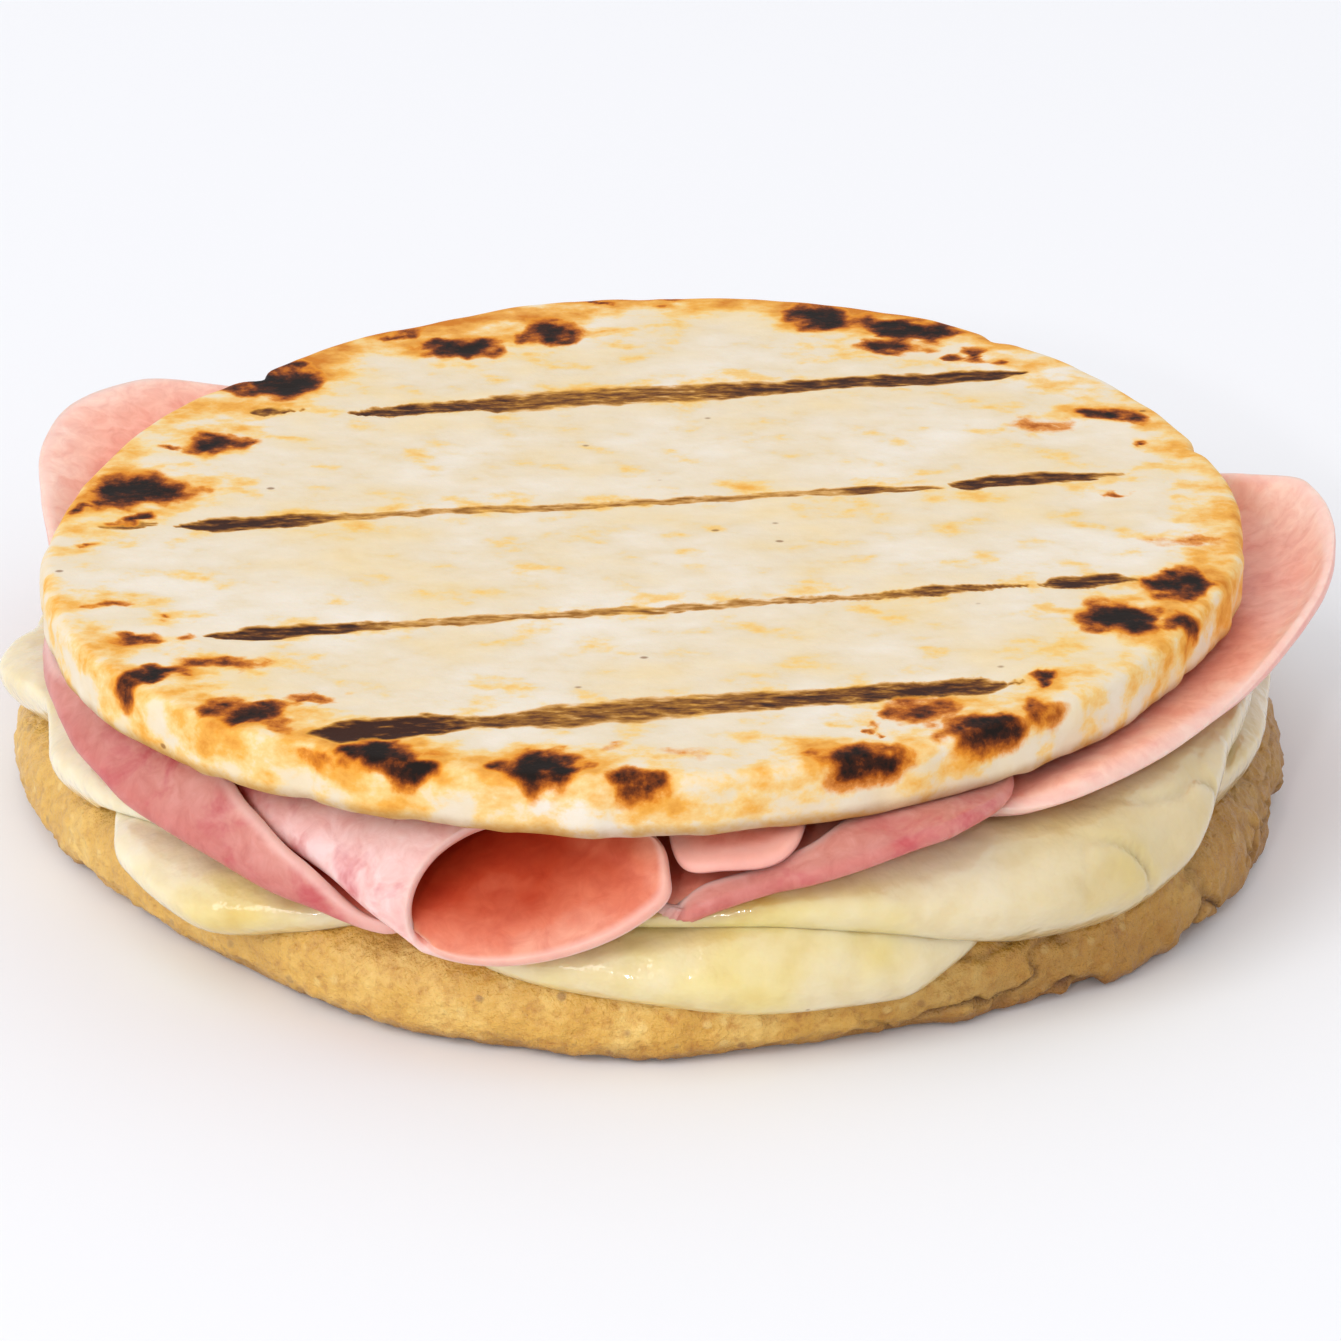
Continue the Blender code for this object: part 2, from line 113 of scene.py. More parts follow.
# Ham slices: azimuth, bend radius and height, edge radius and height.
LEFT_SLICE = (
    (-180, 61.0, 17.5, 59.5, 19.6), (-160, 63.4, 18.2, 61.5, 21.0),
    (-149, 66.0, 16.8, 59.6, 21.6), (-141, 66.4, 15.2, 59.4, 21.6),
    (-132, 66.0, 14.0, 60.6, 21.4), (-127, 65.8, 13.4, 62.8, 20.4),
    (-121, 65.4, 12.6, 64.2, 17.6), (-113, 64.8, 12.2, 63.9, 12.9),
    (-107, 54.0, 14.0, 55.0, 14.0), (-100, 48.0, 15.0, 49.0, 15.0),
    (-96, 50.0, 15.0, 51.0, 15.0), (-89, 62.2, 14.3, 61.4, 15.9),
    (-86, 64.4, 16.2, 60.8, 17.7), (-81, 64.2, 17.8, 60.4, 19.0),
    (-77, 65.0, 18.7, 59.8, 20.3), (-73, 65.8, 19.8, 58.2, 21.7),
    (-67, 65.6, 21.4, 57.4, 21.9), (-62, 63.8, 21.8, 57.2, 21.9),
    (-58, 60.4, 21.7, 57.0, 21.8), (-54, 54.0, 21.5, 54.6, 21.6),
    (-49, 48.0, 21.0, 49.0, 21.1), (-44, 46.0, 20.0, 47.0, 20.0),
    (60, 48.0, 19.2, 49.0, 19.4),
    (112, 56.0, 19.0, 59.0, 19.6), (128, 59.0, 20.8, 61.0, 21.2),
    (135, 60.6, 21.2, 65.0, 22.8), (142, 61.6, 21.2, 71.2, 24.2),
    (149, 62.4, 21.2, 72.6, 24.6), (156, 62.4, 20.8, 70.6, 24.0),
    (164, 62.0, 20.0, 66.4, 22.4), (172, 61.0, 18.6, 62.6, 20.4))
RIGHT_SLICE = (
    (-180, 42.0, 16.4, 43.0, 16.4), (-100, 42.0, 16.2, 43.0, 16.2),
    (-74, 42.0, 16.4, 43.0, 16.4), (-66, 47.0, 18.4, 48.0, 18.4),
    (-61, 54.4, 19.25, 56.0, 19.25), (-56, 60.0, 20.4, 60.8, 19.8),
    (-51, 61.6, 21.9, 62.0, 20.5), (-45, 61.6, 22.1, 62.2, 20.8),
    (-38, 61.6, 22.2, 62.3, 21.1), (-30, 61.8, 22.2, 62.8, 21.9),
    (-20, 62.4, 22.1, 64.2, 23.8), (-12, 63.3, 21.8, 65.5, 25.2),
    (-4, 64.5, 21.5, 66.6, 26.0), (4, 64.2, 21.4, 67.2, 26.2),
    (11, 62.8, 21.2, 66.8, 26.0), (17, 60.8, 21.0, 63.0, 24.4),
    (26, 58.6, 20.6, 59.4, 21.2), (45, 61.6, 18.4, 63.8, 17.6),
    (72, 63.0, 17.6, 64.4, 15.8), (98, 61.0, 17.6, 62.6, 17.0),
    (112, 50.0, 16.4, 51.0, 16.4), (124, 42.0, 16.4, 43.0, 16.4))
# The folded corner: middle, half widths, how square its outline is, droop.
FLAP_MIDDLE = (7.0, -46.5, 21.55)
FLAP_HALF = (6.4, 15.2)
FLAP_SQUARE = 0.45
FLAP_DROOP = 2.4
# The roll: share of its length, middle in plan, half width in plan, bottom, top.
ROLL = (
    (0.0, -10.9, -61.8, 11.8, -0.6, 11.8, 21.5), (0.2, -15.0, -58.6, 11.2, 0.4, 13.6, 21.5),
    (0.45, -21.6, -53.0, 8.6, 2.6, 15.6, 21.5), (0.75, -30.4, -46.2, 6.0, 3.6, 17.6, 21.5),
    (1.0, -36.2, -39.4, 3.2, 3.6, 18.8, 21.3))
# How its mouth's top is set back, its rings filled out at the top right, its length,
# and how its mouth twists and leans.
ROLL_SET_BACK = 4.0
ROLL_FULLNESS = 0.5
ROLL_LENGTH = 34.0
ROLL_TWIST = 2.5
ROLL_LEAN = 2.8

# Stretches of azimuth, as the function within takes them: where the lower cake is lumpy,
# cracked and darkened with painted shade, the cheese creased, the slices unwaved beside
# the roll, and the slices lightened with painted light.
ROUGH_SIDE = (-78.0, -62.0, 20.0, 60.0)
CREASED_SIDE = (-58.0, -44.0, -30.0, -16.0)
BESIDE_ROLL = (-126.0, -118.0, -98.0, -88.0)
PAINTED_LIGHT_SIDE = (-96.0, -58.0, 60.0, 150.0)
# Middle of the dimple in the drooping cheese.
CHEESE_DIMPLE = (46.0, -46.0, 14.5)
# Notches in the upper cake's outline: azimuth, half width in degrees, depth.
RIM_NOTCHES = ((138.0, 1.6, 1.3), (52.0, 1.5, 1.1), (17.5, 1.4, 0.9), (-121.0, 1.8, 0.6))
# Char on the upper cake: x, y, half length, half width, turn in degrees, strength.
# Strength 1 is burnt black, 0.6 brown and 0.3 golden.
CHAR_SPOTS = (
    (-39.5, 32.5, 3.2, 3.2, 18, 0.95), (-44.0, 31.5, 2.2, 1.8, 25, 0.60),
    (-41.0, 37.0, 1.8, 1.0, 40, 0.70), (-21.5, 42.0, 2.6, 2.6, 12, 0.95),
    (-12.5, 46.5, 3.3, 2.8, 8, 0.95), (-27.0, 46.5, 2.4, 1.1, 30, 0.60),
    (-8.5, 55.8, 1.7, 0.8, 8, 0.60), (0.3, 56.5, 1.7, 0.8, 0, 0.60),
    (-45.5, 15.5, 2.8, 1.9, 27, 0.88), (-50.5, 14.5, 1.2, 0.9, 23, 0.50),
    (-53.0, 3.5, 4.4, 3.2, -9, 1.00), (-52.5, -4.0, 2.4, 1.0, 5, 0.70),
    (-58.5, -0.5, 1.2, 1.1, 54, 0.60), (-56.5, -9.5, 0.7, 0.6, 0, 0.50),
    (-52.5, -24.5, 2.1, 0.9, 12, 0.42), (-46.5, -26.5, 0.5, 0.6, 0, 0.50),
    (-49.5, -31.5, 2.0, 1.2, 0, 0.65), (-45.0, -31.5, 0.8, 0.5, 0, 0.60),
    (-52.5, -40.0, 1.1, 1.0, -40, 0.60), (-47.5, -40.0, 2.8, 1.5, 7, 0.92),
    (-40.5, -37.5, 3.8, 1.3, 14, 0.52), (-38.5, -47.5, 2.9, 1.8, 18, 0.95),
    (-33.0, -45.5, 1.9, 1.1, 18, 0.42), (-31.5, -56.0, 2.4, 1.2, 0, 0.40),
    (-25.0, -55.5, 2.4, 1.8, -12, 0.95), (-22.5, -58.5, 2.2, 1.8, -45, 0.95),
    (-10.5, -59.0, 3.0, 2.4, -10, 0.98), (-2.5, -61.0, 2.0, 1.4, -10, 0.60),
    (-5.5, -54.5, 1.5, 1.0, 0, 0.24), (2.0, -56.0, 1.6, 1.2, 0, 0.20),
    (17.0, 51.0, 3.2, 3.2, 0, 0.98), (26.5, 48.0, 5.0, 2.3, -18, 1.00),
    (25.0, 42.5, 3.0, 2.1, -5, 0.75), (33.5, 40.0, 1.5, 1.1, -12, 0.70),
    (38.5, 21.0, 3.4, 1.8, -7, 0.32), (47.0, 24.0, 2.6, 1.8, -12, 0.87),
    (49.5, 15.5, 0.9, 0.8, -23, 0.60), (45.0, 3.5, 0.9, 1.0, 0, 0.42),
    (52.0, -8.5, 3.0, 1.1, 0, 0.27), (50.0, -19.0, 2.2, 2.9, -12, 0.97),
    (43.5, -27.5, 2.8, 2.8, 12, 0.94), (49.8, -28.0, 1.7, 2.1, -40, 0.66),
    (37.0, -40.0, 1.5, 0.8, 18, 0.66), (23.5, -47.5, 2.9, 2.2, 23, 0.60),
    (29.5, -50.5, 3.9, 2.2, 35, 0.87), (35.5, -46.0, 2.4, 1.3, 27, 0.42),
    (20.0, -52.0, 1.1, 0.9, 12, 0.62), (19.0, -57.5, 3.0, 1.9, 9, 0.90),
    (20.5, -60.2, 1.6, 0.9, 12, 0.52), (-36.5, -50.5, 3.6, 1.2, -35, 0.34))
# Grill-bar marks: start x, y, end x, y, then share of the length, half width, strength.
GRILL_LINES = (
    (-32.0, 24.2, 38.5, 35.4, ((0.0, 0.2, 0.75), (0.05, 1.2, 0.85), (0.18, 1.3, 0.80),
                               (0.24, 1.9, 0.62), (0.50, 1.9, 0.58), (0.60, 1.3, 0.78),
                               (0.92, 1.3, 0.88), (1.0, 0.2, 0.70))),
    (-43.5, 24.2, -37.0, 24.9, ((0.0, 0.1, 0.60), (0.4, 1.0, 0.75), (1.0, 0.1, 0.60))),
    (-48.5, -5.4, 27.5, 5.2, ((0.0, 0.1, 0.70), (0.05, 1.2, 0.92), (0.16, 1.2, 0.86),
                              (0.23, 0.7, 0.44), (0.84, 0.7, 0.42), (0.92, 1.0, 0.62),
                              (1.0, 0.2, 0.50))),
    (29.0, 5.5, 46.5, 8.3, ((0.0, 0.2, 0.70), (0.12, 1.2, 0.92), (0.70, 1.0, 0.84),
                            (1.0, 0.2, 0.40))),
    (-55.5, -5.2, -50.0, -4.5, ((0.0, 0.1, 0.50), (0.5, 0.9, 0.66), (1.0, 0.1, 0.50))),
    (-43.0, -31.3, 35.5, -19.3, ((0.0, 0.1, 0.70), (0.05, 1.2, 0.94), (0.17, 1.0, 0.86),
                                 (0.23, 0.7, 0.44), (0.80, 0.7, 0.46), (0.88, 1.0, 0.66),
                                 (1.0, 0.3, 0.56))),
    (36.5, -19.0, 46.5, -17.4, ((0.0, 0.2, 0.70), (0.2, 1.2, 0.92), (0.8, 1.0, 0.86),
                                (1.0, 0.1, 0.60))),
    (-32.0, -52.4, 33.0, -41.3, ((0.0, 0.2, 0.90), (0.04, 1.7, 1.10), (0.17, 1.7, 1.05),
                                 (0.22, 1.0, 0.74), (0.30, 1.3, 0.60), (0.36, 2.0, 0.60),
                                 (0.60, 1.9, 0.60), (0.68, 1.4, 0.76), (0.95, 1.3, 0.86),
                                 (1.0, 0.2, 0.60))))


def ease(value, start, stop):
    """Smooth step: 0 before start, 1 after stop, a flat-ended cubic between."""
    step = np.clip((value - start) / (stop - start), 0.0, 1.0)
    return step * step * (3.0 - 2.0 * step)


def within(azimuth, span):
    """1 on a stretch of azimuth: it rises over the first two angles of its span and
    falls over the last two."""
    return ease(azimuth, *span[:2]) * (1.0 - ease(azimuth, *span[2:]))


def wave(azimuth, folds, size, peak):
    """Cosine round the sandwich with that many folds and its crest at peak degrees."""
    return size * np.cos(np.radians(folds * (azimuth - peak)))


def steady(at, value, x):
    """Cubic through (at, value) whose slope is the harmonic mean of its neighbours'
    slopes, and zero at a turning point, so that it never overshoots a value."""
    slope = np.diff(value) / np.diff(at)
    rate = np.zeros_like(value)
    same = slope[:-1] * slope[1:] > 0
    total = np.where(same, slope[:-1] + slope[1:], 1.0)
    rate[1:-1] = np.where(same, 2 * slope[:-1] * slope[1:] / total, 0.0)
    i = np.clip(np.searchsorted(at, x, side="right") - 1, 0, len(at) - 2)
    span = at[i + 1] - at[i]
    t = (x - at[i]) / span
    near = (2 * t**3 - 3 * t**2 + 1) * value[i] + (t**3 - 2 * t**2 + t) * span * rate[i]
    far = (3 * t**2 - 2 * t**3) * value[i + 1] + (t**3 - t**2) * span * rate[i + 1]
    return near + far


def keyed(azimuth, keys, column):
    """The steady cubic through the keys' values, closed round the sandwich."""
    rows = np.array(sorted(keys), float)
    rows = np.vstack((rows[-2:], rows, rows[:2]))
    rows[:2, 0] -= 360.0
    rows[-2:, 0] += 360.0
    return steady(rows[:, 0], rows[:, column], (azimuth + 180.0) % 360.0 - 180.0)


def lattice(cells, seed):
    """A repeatable random number from 0 to 1 for each whole-number lattice point."""
    x, y, z = (cells[..., i].astype(np.uint64) for i in range(3))
    mixed = x * np.uint64(73856093) ^ y * np.uint64(19349663) ^ z * np.uint64(83492791)
    mixed = (mixed + np.uint64(seed * 7919)) * np.uint64(0x9E3779B97F4A7C15)
    mixed = (mixed ^ (mixed >> np.uint64(31))) * np.uint64(0xBF58476D1CE4E5B9)
    return (mixed >> np.uint64(40)).astype(float) / float(1 << 24)


def clouds(points, size, seed):
    """Smooth noise from -1 to 1: random values on a lattice of that size in
    millimetres, blended between the eight corners with a flat-ended cubic."""
    scaled = points / size + 1000.0
    cell = np.floor(scaled).astype(np.int64)
    part = scaled - cell
    part = part * part * (3.0 - 2.0 * part)
    total = np.zeros(points.shape[:-1])
    for corner in range(8):
        step = np.array([corner & 1, corner >> 1 & 1, corner >> 2 & 1])
        share = np.prod(np.where(step == 1, part, 1.0 - part), axis=-1)
        total += share * lattice(cell + step, seed)
    return 2.0 * total - 1.0


def pebbles(points, size, seed):
    """Distance to the nearest of one random point in each lattice cell, in cells:
    0 at a grain's middle and about 0.6 in the hollows between grains."""
    scaled = points / size + 1000.0
    cell = np.floor(scaled).astype(np.int64)
    nearest = np.full(points.shape[:-1], 9.0)
    for shift in np.ndindex(3, 3, 3):
        near = cell + np.array(shift) - 1
        place = near + np.stack([lattice(near, seed + k) for k in range(3)], axis=-1)
        nearest = np.minimum(nearest, np.linalg.norm(scaled - place, axis=-1))
    return nearest


def squircle(tilt, out, rise, power):
    """Reach of a rounded corner that is out wide when level and rise high upright."""
    level = np.maximum(np.cos(np.radians(tilt)), 1e-9)
    upright = np.maximum(np.sin(np.radians(tilt)), 1e-9)
    return ((level / out)**power + (upright / rise)**power)**(-1.0 / power)


def polar(azimuth, radius, height):
    """Points from azimuth in degrees, radius and height."""
    angle, radius, height = np.broadcast_arrays(np.radians(azimuth), radius, height)
    return np.stack((radius * np.cos(angle), radius * np.sin(angle), height), axis=-1)


def lower_rim(azimuth):
    """Radius of the lower cake: a circle with two, three and five soft folds."""
    return (LOWER_RADIUS + wave(azimuth, 2, 0.9, -6) + wave(azimuth, 3, 0.9, 44)
            + wave(azimuth, 5, 1.0, -35))


def upper_rim(azimuth):
    """Radius of the upper cake: a circle with two, three and five soft folds."""
    return (UPPER_RADIUS + wave(azimuth, 2, 2.1, 52) + wave(azimuth, 3, 0.8, -34)
            + wave(azimuth, 5, 0.3, 0))


def ray(azimuth, tilt, reach):
    """Point at that reach along the ray of that azimuth and tilt."""
    angle = np.radians(tilt)
    ring = lower_rim(azimuth) - SHELF
    return polar(azimuth, ring + reach * np.cos(angle), FOOT + reach * np.sin(angle))


def cake_reach(azimuth, tilt):
    """Reach of the lower cake's shoulder."""
    return squircle(tilt, SHELF, LOWER_TOP - FOOT, 2.6) + 0.0 * azimuth


def sheet_reach(azimuth, tilt, keys, below):
    """Reach of a cheese sheet: its own belly, or CHEESE_LEAST above what is below."""
    own = squircle(tilt, keyed(azimuth, keys, 1), keyed(azimuth, keys, 2), BELLY_POWER)
    lowest = below + GAP + CHEESE_LEAST
    return lowest + 0.5 * (own - lowest + np.sqrt((own - lowest)**2 + 0.16))


def lower_cheese_reach(azimuth, tilt):
    """Reach of the lower sheet's outer face."""
    return sheet_reach(azimuth, tilt, LOWER_CHEESE, cake_reach(azimuth, tilt))


def under_upper_cheese(azimuth, tilt):
    """The lower cheese where it is there, and the cake below its edge."""
    edge = keyed(azimuth, LOWER_CHEESE, 3)
    share = ease(tilt, edge - 24.0, edge - 2.0)
    cake = cake_reach(azimuth, tilt)
    return cake + share * (lower_cheese_reach(azimuth, tilt) - cake)


def upper_cheese_reach(azimuth, tilt):
    """Reach of the upper sheet's outer face."""
    return sheet_reach(azimuth, tilt, UPPER_CHEESE, under_upper_cheese(azimuth, tilt))


def cheese_cover(azimuth, tilt):
    """The upper cheese where it is there, and what lies under it below its edge."""
    edge = keyed(azimuth, UPPER_CHEESE, 3)
    share = ease(tilt, edge - 18.0, edge)
    under = under_upper_cheese(azimuth, tilt)
    return under + share * (upper_cheese_reach(azimuth, tilt) - under)


def settled(azimuth, radius, rim_height, centre_height):
    """Height inside the ring: level, then straight up to the rim's height at the ring."""
    share = radius / (lower_rim(azimuth) - SHELF)
    climb = np.clip((share - LEVEL_SHARE) / (1.0 - LEVEL_SHARE), 0.0, 1.0)
    return centre_height + (rim_height - centre_height) * climb


def azimuths(count):
    """That many even azimuths in degrees, from -180 up to but not including 180."""
    return -180.0 + 360.0 * np.arange(count) / count


def outward(rings):
    """Unit normals of a grid of rings, from the cross product of its two directions."""
    along = np.gradient(rings, axis=0)
    around = np.roll(rings, -1, axis=1) - np.roll(rings, 1, axis=1)
    normal = np.cross(around, along)
    return normal / np.maximum(np.linalg.norm(normal, axis=-1, keepdims=True), 1e-9)


def skin(name, rings, marks=None):
    """Closed mesh of rings with a pole at each end, the mean of the ring next to it.
    marks are per-point values, one grid for each name, kept as mesh attributes."""
    rows, count = rings.shape[:2]
    points = np.vstack((rings[0].mean(0)[None], rings.reshape(-1, 3), rings[-1].mean(0)[None]))
    first, last = 0, len(points) - 1
    here = 1 + np.arange(rows * count).reshape(rows, count)
    beside = np.roll(here, -1, axis=1)
    quads = np.stack((here[:-1], beside[:-1], beside[1:], here[1:]), axis=-1).reshape(-1, 4)
    start = np.stack((np.full(count, first), beside[0], here[0]), axis=-1)
    stop = np.stack((here[-1], beside[-1], np.full(count, last)), axis=-1)
    corner = points[quads]
    cross = np.cross(corner[:, 2] - corner[:, 0], corner[:, 3] - corner[:, 1])
    if np.einsum("ij,ij->", corner.mean(1), cross) < 0.0:
        quads, start, stop = quads[:, ::-1], start[:, ::-1], stop[:, ::-1]
    loops = np.concatenate((start.ravel(), quads.ravel(), stop.ravel())).astype(np.int32)
    sizes = np.concatenate((np.full(count, 3), np.full(len(quads), 4), np.full(count, 3)))
    data = bpy.data.meshes.new(name)
    data.vertices.add(len(points))
    data.loops.add(len(loops))
    data.polygons.add(len(sizes))
    data.vertices.foreach_set("co", (points * MM).astype(np.float32).ravel())
    data.loops.foreach_set("vertex_index", loops)
    data.polygons.foreach_set("loop_start", (np.cumsum(sizes) - sizes).astype(np.int32))
    data.polygons.foreach_set("use_smooth", np.ones(len(sizes), bool))
    for mark, grid in (marks or {}).items():
        layer = data.attributes.new(mark, "FLOAT", "POINT")
        values = np.concatenate(([grid[0].mean()], grid.ravel(), [grid[-1].mean()]))
        layer.data.foreach_set("value", values.astype(np.float32))
    data.update(calc_edges=True)
    if data.validate():
        raise RuntimeError(name + " has faulty faces")
    piece = bpy.data.objects.new(name, data)
    bpy.context.scene.collection.objects.link(piece)
    return piece


def slab(name, middle, thickness, rounding, marks):
    """Closed slice round a middle surface that runs from its floor to its edge: half
    the thickness to each side along the normals, rounded over at the edge.  The mark
    "face" is 0 on the inner side and 1 on the outer side."""
    half = 0.5 * thickness * rounding[..., None] * outward(middle)
    marks = {mark: np.concatenate((grid, grid[::-1])) for mark, grid in marks.items()}
    marks["face"] = np.concatenate((np.zeros(rounding.shape), np.ones(rounding.shape)))
    return skin(name, np.concatenate((middle - half, (middle + half)[::-1])), marks)


def rounded_edge(rows, count, last):
    """Thickness share along a slice: 1, then a quarter circle over the last rows."""
    step = np.clip((np.arange(rows) - (rows - 1 - last)) / last, 0.0, 1.0)
    return np.repeat(np.sqrt(1.0 - 0.98 * step**2)[:, None], count, axis=1)


def stack(*parts):
    """Grids of rings one after the other, each widened to the longest ring."""
    count = max(part.shape[1] for part in parts)
    return np.concatenate([np.broadcast_to(part, (part.shape[0], count) + part.shape[2:])
                           for part in parts])


def lower_cake_rings(relief):
    """Lower cake from the middle of its underside, round its side, to its top.

    The side is a quarter ellipse up to FOOT and the rays' shoulder above it, moved
    along the normals by clouds from 16 mm down to 0.7 mm, by grains, by bites out of
    the foot, and on ROUGH_SIDE by lumps and by cracks where a cloud crosses zero."""
    azimuth = azimuths(840)[None]
    rim = lower_rim(azimuth)
    inner = np.array((0.1, 0.4, 0.7, 0.88))[:, None]
    turn = np.radians(np.linspace(0.0, 90.0, 20))[:, None]
    corner = polar(azimuth, rim - 3.4 * (1.0 - np.sin(turn)), FOOT * (1.0 - np.cos(turn)))
    tilt = np.linspace(2.5, 90.0, 34)[:, None]
    over = ray(azimuth, tilt, cake_reach(azimuth, tilt))
    top = np.linspace(0.97, 0.05, 16)[:, None]
    rings = stack(polar(azimuth, inner * (rim - 3.4), 0.0), corner, over,
                  polar(azimuth, top * (rim - SHELF), LOWER_TOP))
    height = rings[..., 2]
    free = ease(height, 0.0, 0.9)
    rough_side = within(azimuth, ROUGH_SIDE)
    low = 1.0 - ease(height, 2.0, 6.5)
    swell = (0.50 * clouds(rings, 16.0, 3) + 0.28 * clouds(rings, 6.5, 5)
             + 0.14 * clouds(rings, 3.0, 7) + 0.12 * clouds(rings, 1.5, 8))
    grain = 0.26 * (0.55 - pebbles(rings, 1.2, 11)) + 0.20 * clouds(rings, 0.7, 13)
    ragged_and_shade = rough_side * (0.3 + 0.7 * low)
    lumps = ragged_and_shade * (0.9 * clouds(rings, 7.0, 17) + 0.4 * clouds(rings, 2.0, 19))
    # The foot crumbles away in bites a few millimetres wide.
    bitten = (1.0 - ease(height, 0.6, 3.4)) * (0.35 + 0.65 * rough_side)
    bites = bitten * ease(clouds(rings, 3.6, 41), 0.05, 0.35)
    vein = np.abs(clouds(rings * (1.0, 1.0, 1.6), 7.5, 23) + 0.25 * clouds(rings, 2.0, 29))
    crack = (1.0 - ease(vein, 0.0, 0.10)) * ragged_and_shade
    moved = free * (swell + grain + lumps - 1.1 * crack - 0.9 * bites) * relief
    rings = rings + moved[..., None] * outward(rings)
    rings[..., 2] = np.maximum(rings[..., 2], 0.0)
    marks = {"hollow_shade": free * (crack + 0.5 * bites + 0.5 * np.clip(-lumps, 0.0, 1.0)),
             "ragged_and_shade": ragged_and_shade * free + 0.0 * height}
    return rings, marks


def upper_toast(azimuth):
    """How toasted the upper cake's rim is, round the cake."""
    keys = ((-180, 0.34), (-150, 0.40), (-128, 0.52), (-104, 0.40), (-84, 0.34), (-55, 0.22),
            (-28, 0.46), (0, 0.76), (20, 0.60), (48, 0.52), (75, 0.92), (105, 1.00),
            (135, 0.95), (158, 0.50))
    return keyed(azimuth, keys, 1)


def spot_distance(x, y, spot):
    """Distance from a turned ellipse's middle in units of its half axes."""
    middle_x, middle_y, along, across, turn = spot[:5]
    c, s = cos(radians(turn)), sin(radians(turn))
    u = ((x - middle_x) * c + (y - middle_y) * s) / along
    v = ((y - middle_y) * c - (x - middle_x) * s) / across
    return np.hypot(u, v)


def bar_mark(x, y, line):
    """Strength of a straight bar mark, and the distance from it in millimetres: its
    half width and strength are interpolated between its keys."""
    x0, y0, x1, y1 = line[:4]
    dx, dy = x1 - x0, y1 - y0
    share = np.clip(((x - x0) * dx + (y - y0) * dy) / (dx * dx + dy * dy), 0.0, 1.0)
    at, half, strength = np.array(line[4]).T
    away = np.hypot(x - x0 - share * dx, y - y0 - share * dy)
    near = 1.0 - ease(away / np.interp(share, at, half), 0.7, 1.7)
    return np.interp(share, at, strength) * near, away


def char_marks(points):
    """Char and toast on the upper cake: each spot or line fades out from its middle,
    its outline broken up by clouds of 4 mm to 0.8 mm, and a golden halo lies round it."""
    x = (points[..., 0] + 1.7 * clouds(points, 4.2, 41) + 1.5 * clouds(points, 1.9, 43)
         + 0.60 * clouds(points, 0.9, 49))
    y = (points[..., 1] + 1.1 * clouds(points, 4.2, 45) + 1.0 * clouds(points, 1.7, 47)
         + 0.50 * clouds(points, 0.8, 50))
    char, halo = np.zeros(x.shape), np.zeros(x.shape)
    for spot in CHAR_SPOTS:
        away = spot_distance(x, y, spot)
        strength = spot[5]
        char = np.maximum(char, strength * (1.0 - ease(away, 0.15, 1.9)))
        halo = np.maximum(halo, strength * np.exp(-0.26 * away**2))
    char = char * (1.0 + 0.34 * clouds(points, 1.5, 57))
    straight_x = points[..., 0] + 0.8 * clouds(points, 1.6, 51)
    straight_y = (points[..., 1] + 0.30 * clouds(points, 2.4, 53) + 0.3 * clouds(points, 9.0, 55)
                  + 0.22 * clouds(points, 0.9, 52))
    bars = np.zeros(x.shape)
    for line in GRILL_LINES:
        mark, away = bar_mark(straight_x, straight_y, line)
        bars = np.maximum(bars, mark)
        halo = np.maximum(halo, 0.30 * np.exp(-0.10 * away**2))
    return char, halo, bars


def upper_cake_rings(relief):
    """Upper cake from the middle of its underside, round its rim, to its top.

    The rim's section is a superellipse; clouds make the top gently uneven and the
    outline irregular, and the grill bars leave shallow grooves."""
    azimuth = azimuths(640)[None]
    rim = (upper_rim(azimuth) + 0.35 * clouds(polar(azimuth, 59.0, 0.0), 15.0, 61)
           + 0.26 * clouds(polar(azimuth, 59.0, 0.0), 5.0, 63))
    for middle, width, deep in RIM_NOTCHES:
        rim = rim - deep * np.exp(-((azimuth - middle) / width)**2)
    half, reach, squareness = 0.5 * (UPPER_HIGH - UPPER_LOW), 2.2, 0.46
    turn = np.radians(np.linspace(-88.0, 88.0, 34))[:, None]
    inset = reach * (1.0 - np.cos(turn)**squareness)
    rise = half * np.sign(np.sin(turn)) * np.abs(np.sin(turn))**squareness
    under = np.array((0.08, 0.4, 0.7, 0.9))[:, None]
    top = np.linspace(0.995, 0.008, 104)[:, None]
    rings = stack(polar(azimuth, under * (rim - reach), UPPER_LOW),
                  polar(azimuth, rim - inset, 0.5 * (UPPER_LOW + UPPER_HIGH) + rise),
                  polar(azimuth, top * (rim - reach), UPPER_HIGH))
    rings = rings + (*UPPER_OFFSET, 0.0)
    char, halo, bars = char_marks(rings)
    above = ease(rings[..., 2], UPPER_LOW + 2.0, UPPER_HIGH - 0.4)
    side = 1.0 - ease(rings[..., 2], UPPER_HIGH - 1.6, UPPER_HIGH - 0.2)
    swell = (0.20 * clouds(rings, 19.0, 65) + 0.12 * clouds(rings, 7.0, 67)
             + 0.05 * clouds(rings, 2.6, 69) + side * 0.22 * clouds(rings, 2.0, 71))
    moved = relief * swell - above * (0.16 * bars + 0.10 * char)
    rings = rings + moved[..., None] * outward(rings)
    out = np.hypot(rings[..., 0] - UPPER_OFFSET[0], rings[..., 1] - UPPER_OFFSET[1])
    near_rim = ease(rim - out, 11.0, 0.5)
    toast = near_rim * upper_toast(azimuth)
    return rings, {"char": char * above, "bars": bars * above, "halo": halo * above,
                   "toast": toast, "side": side}


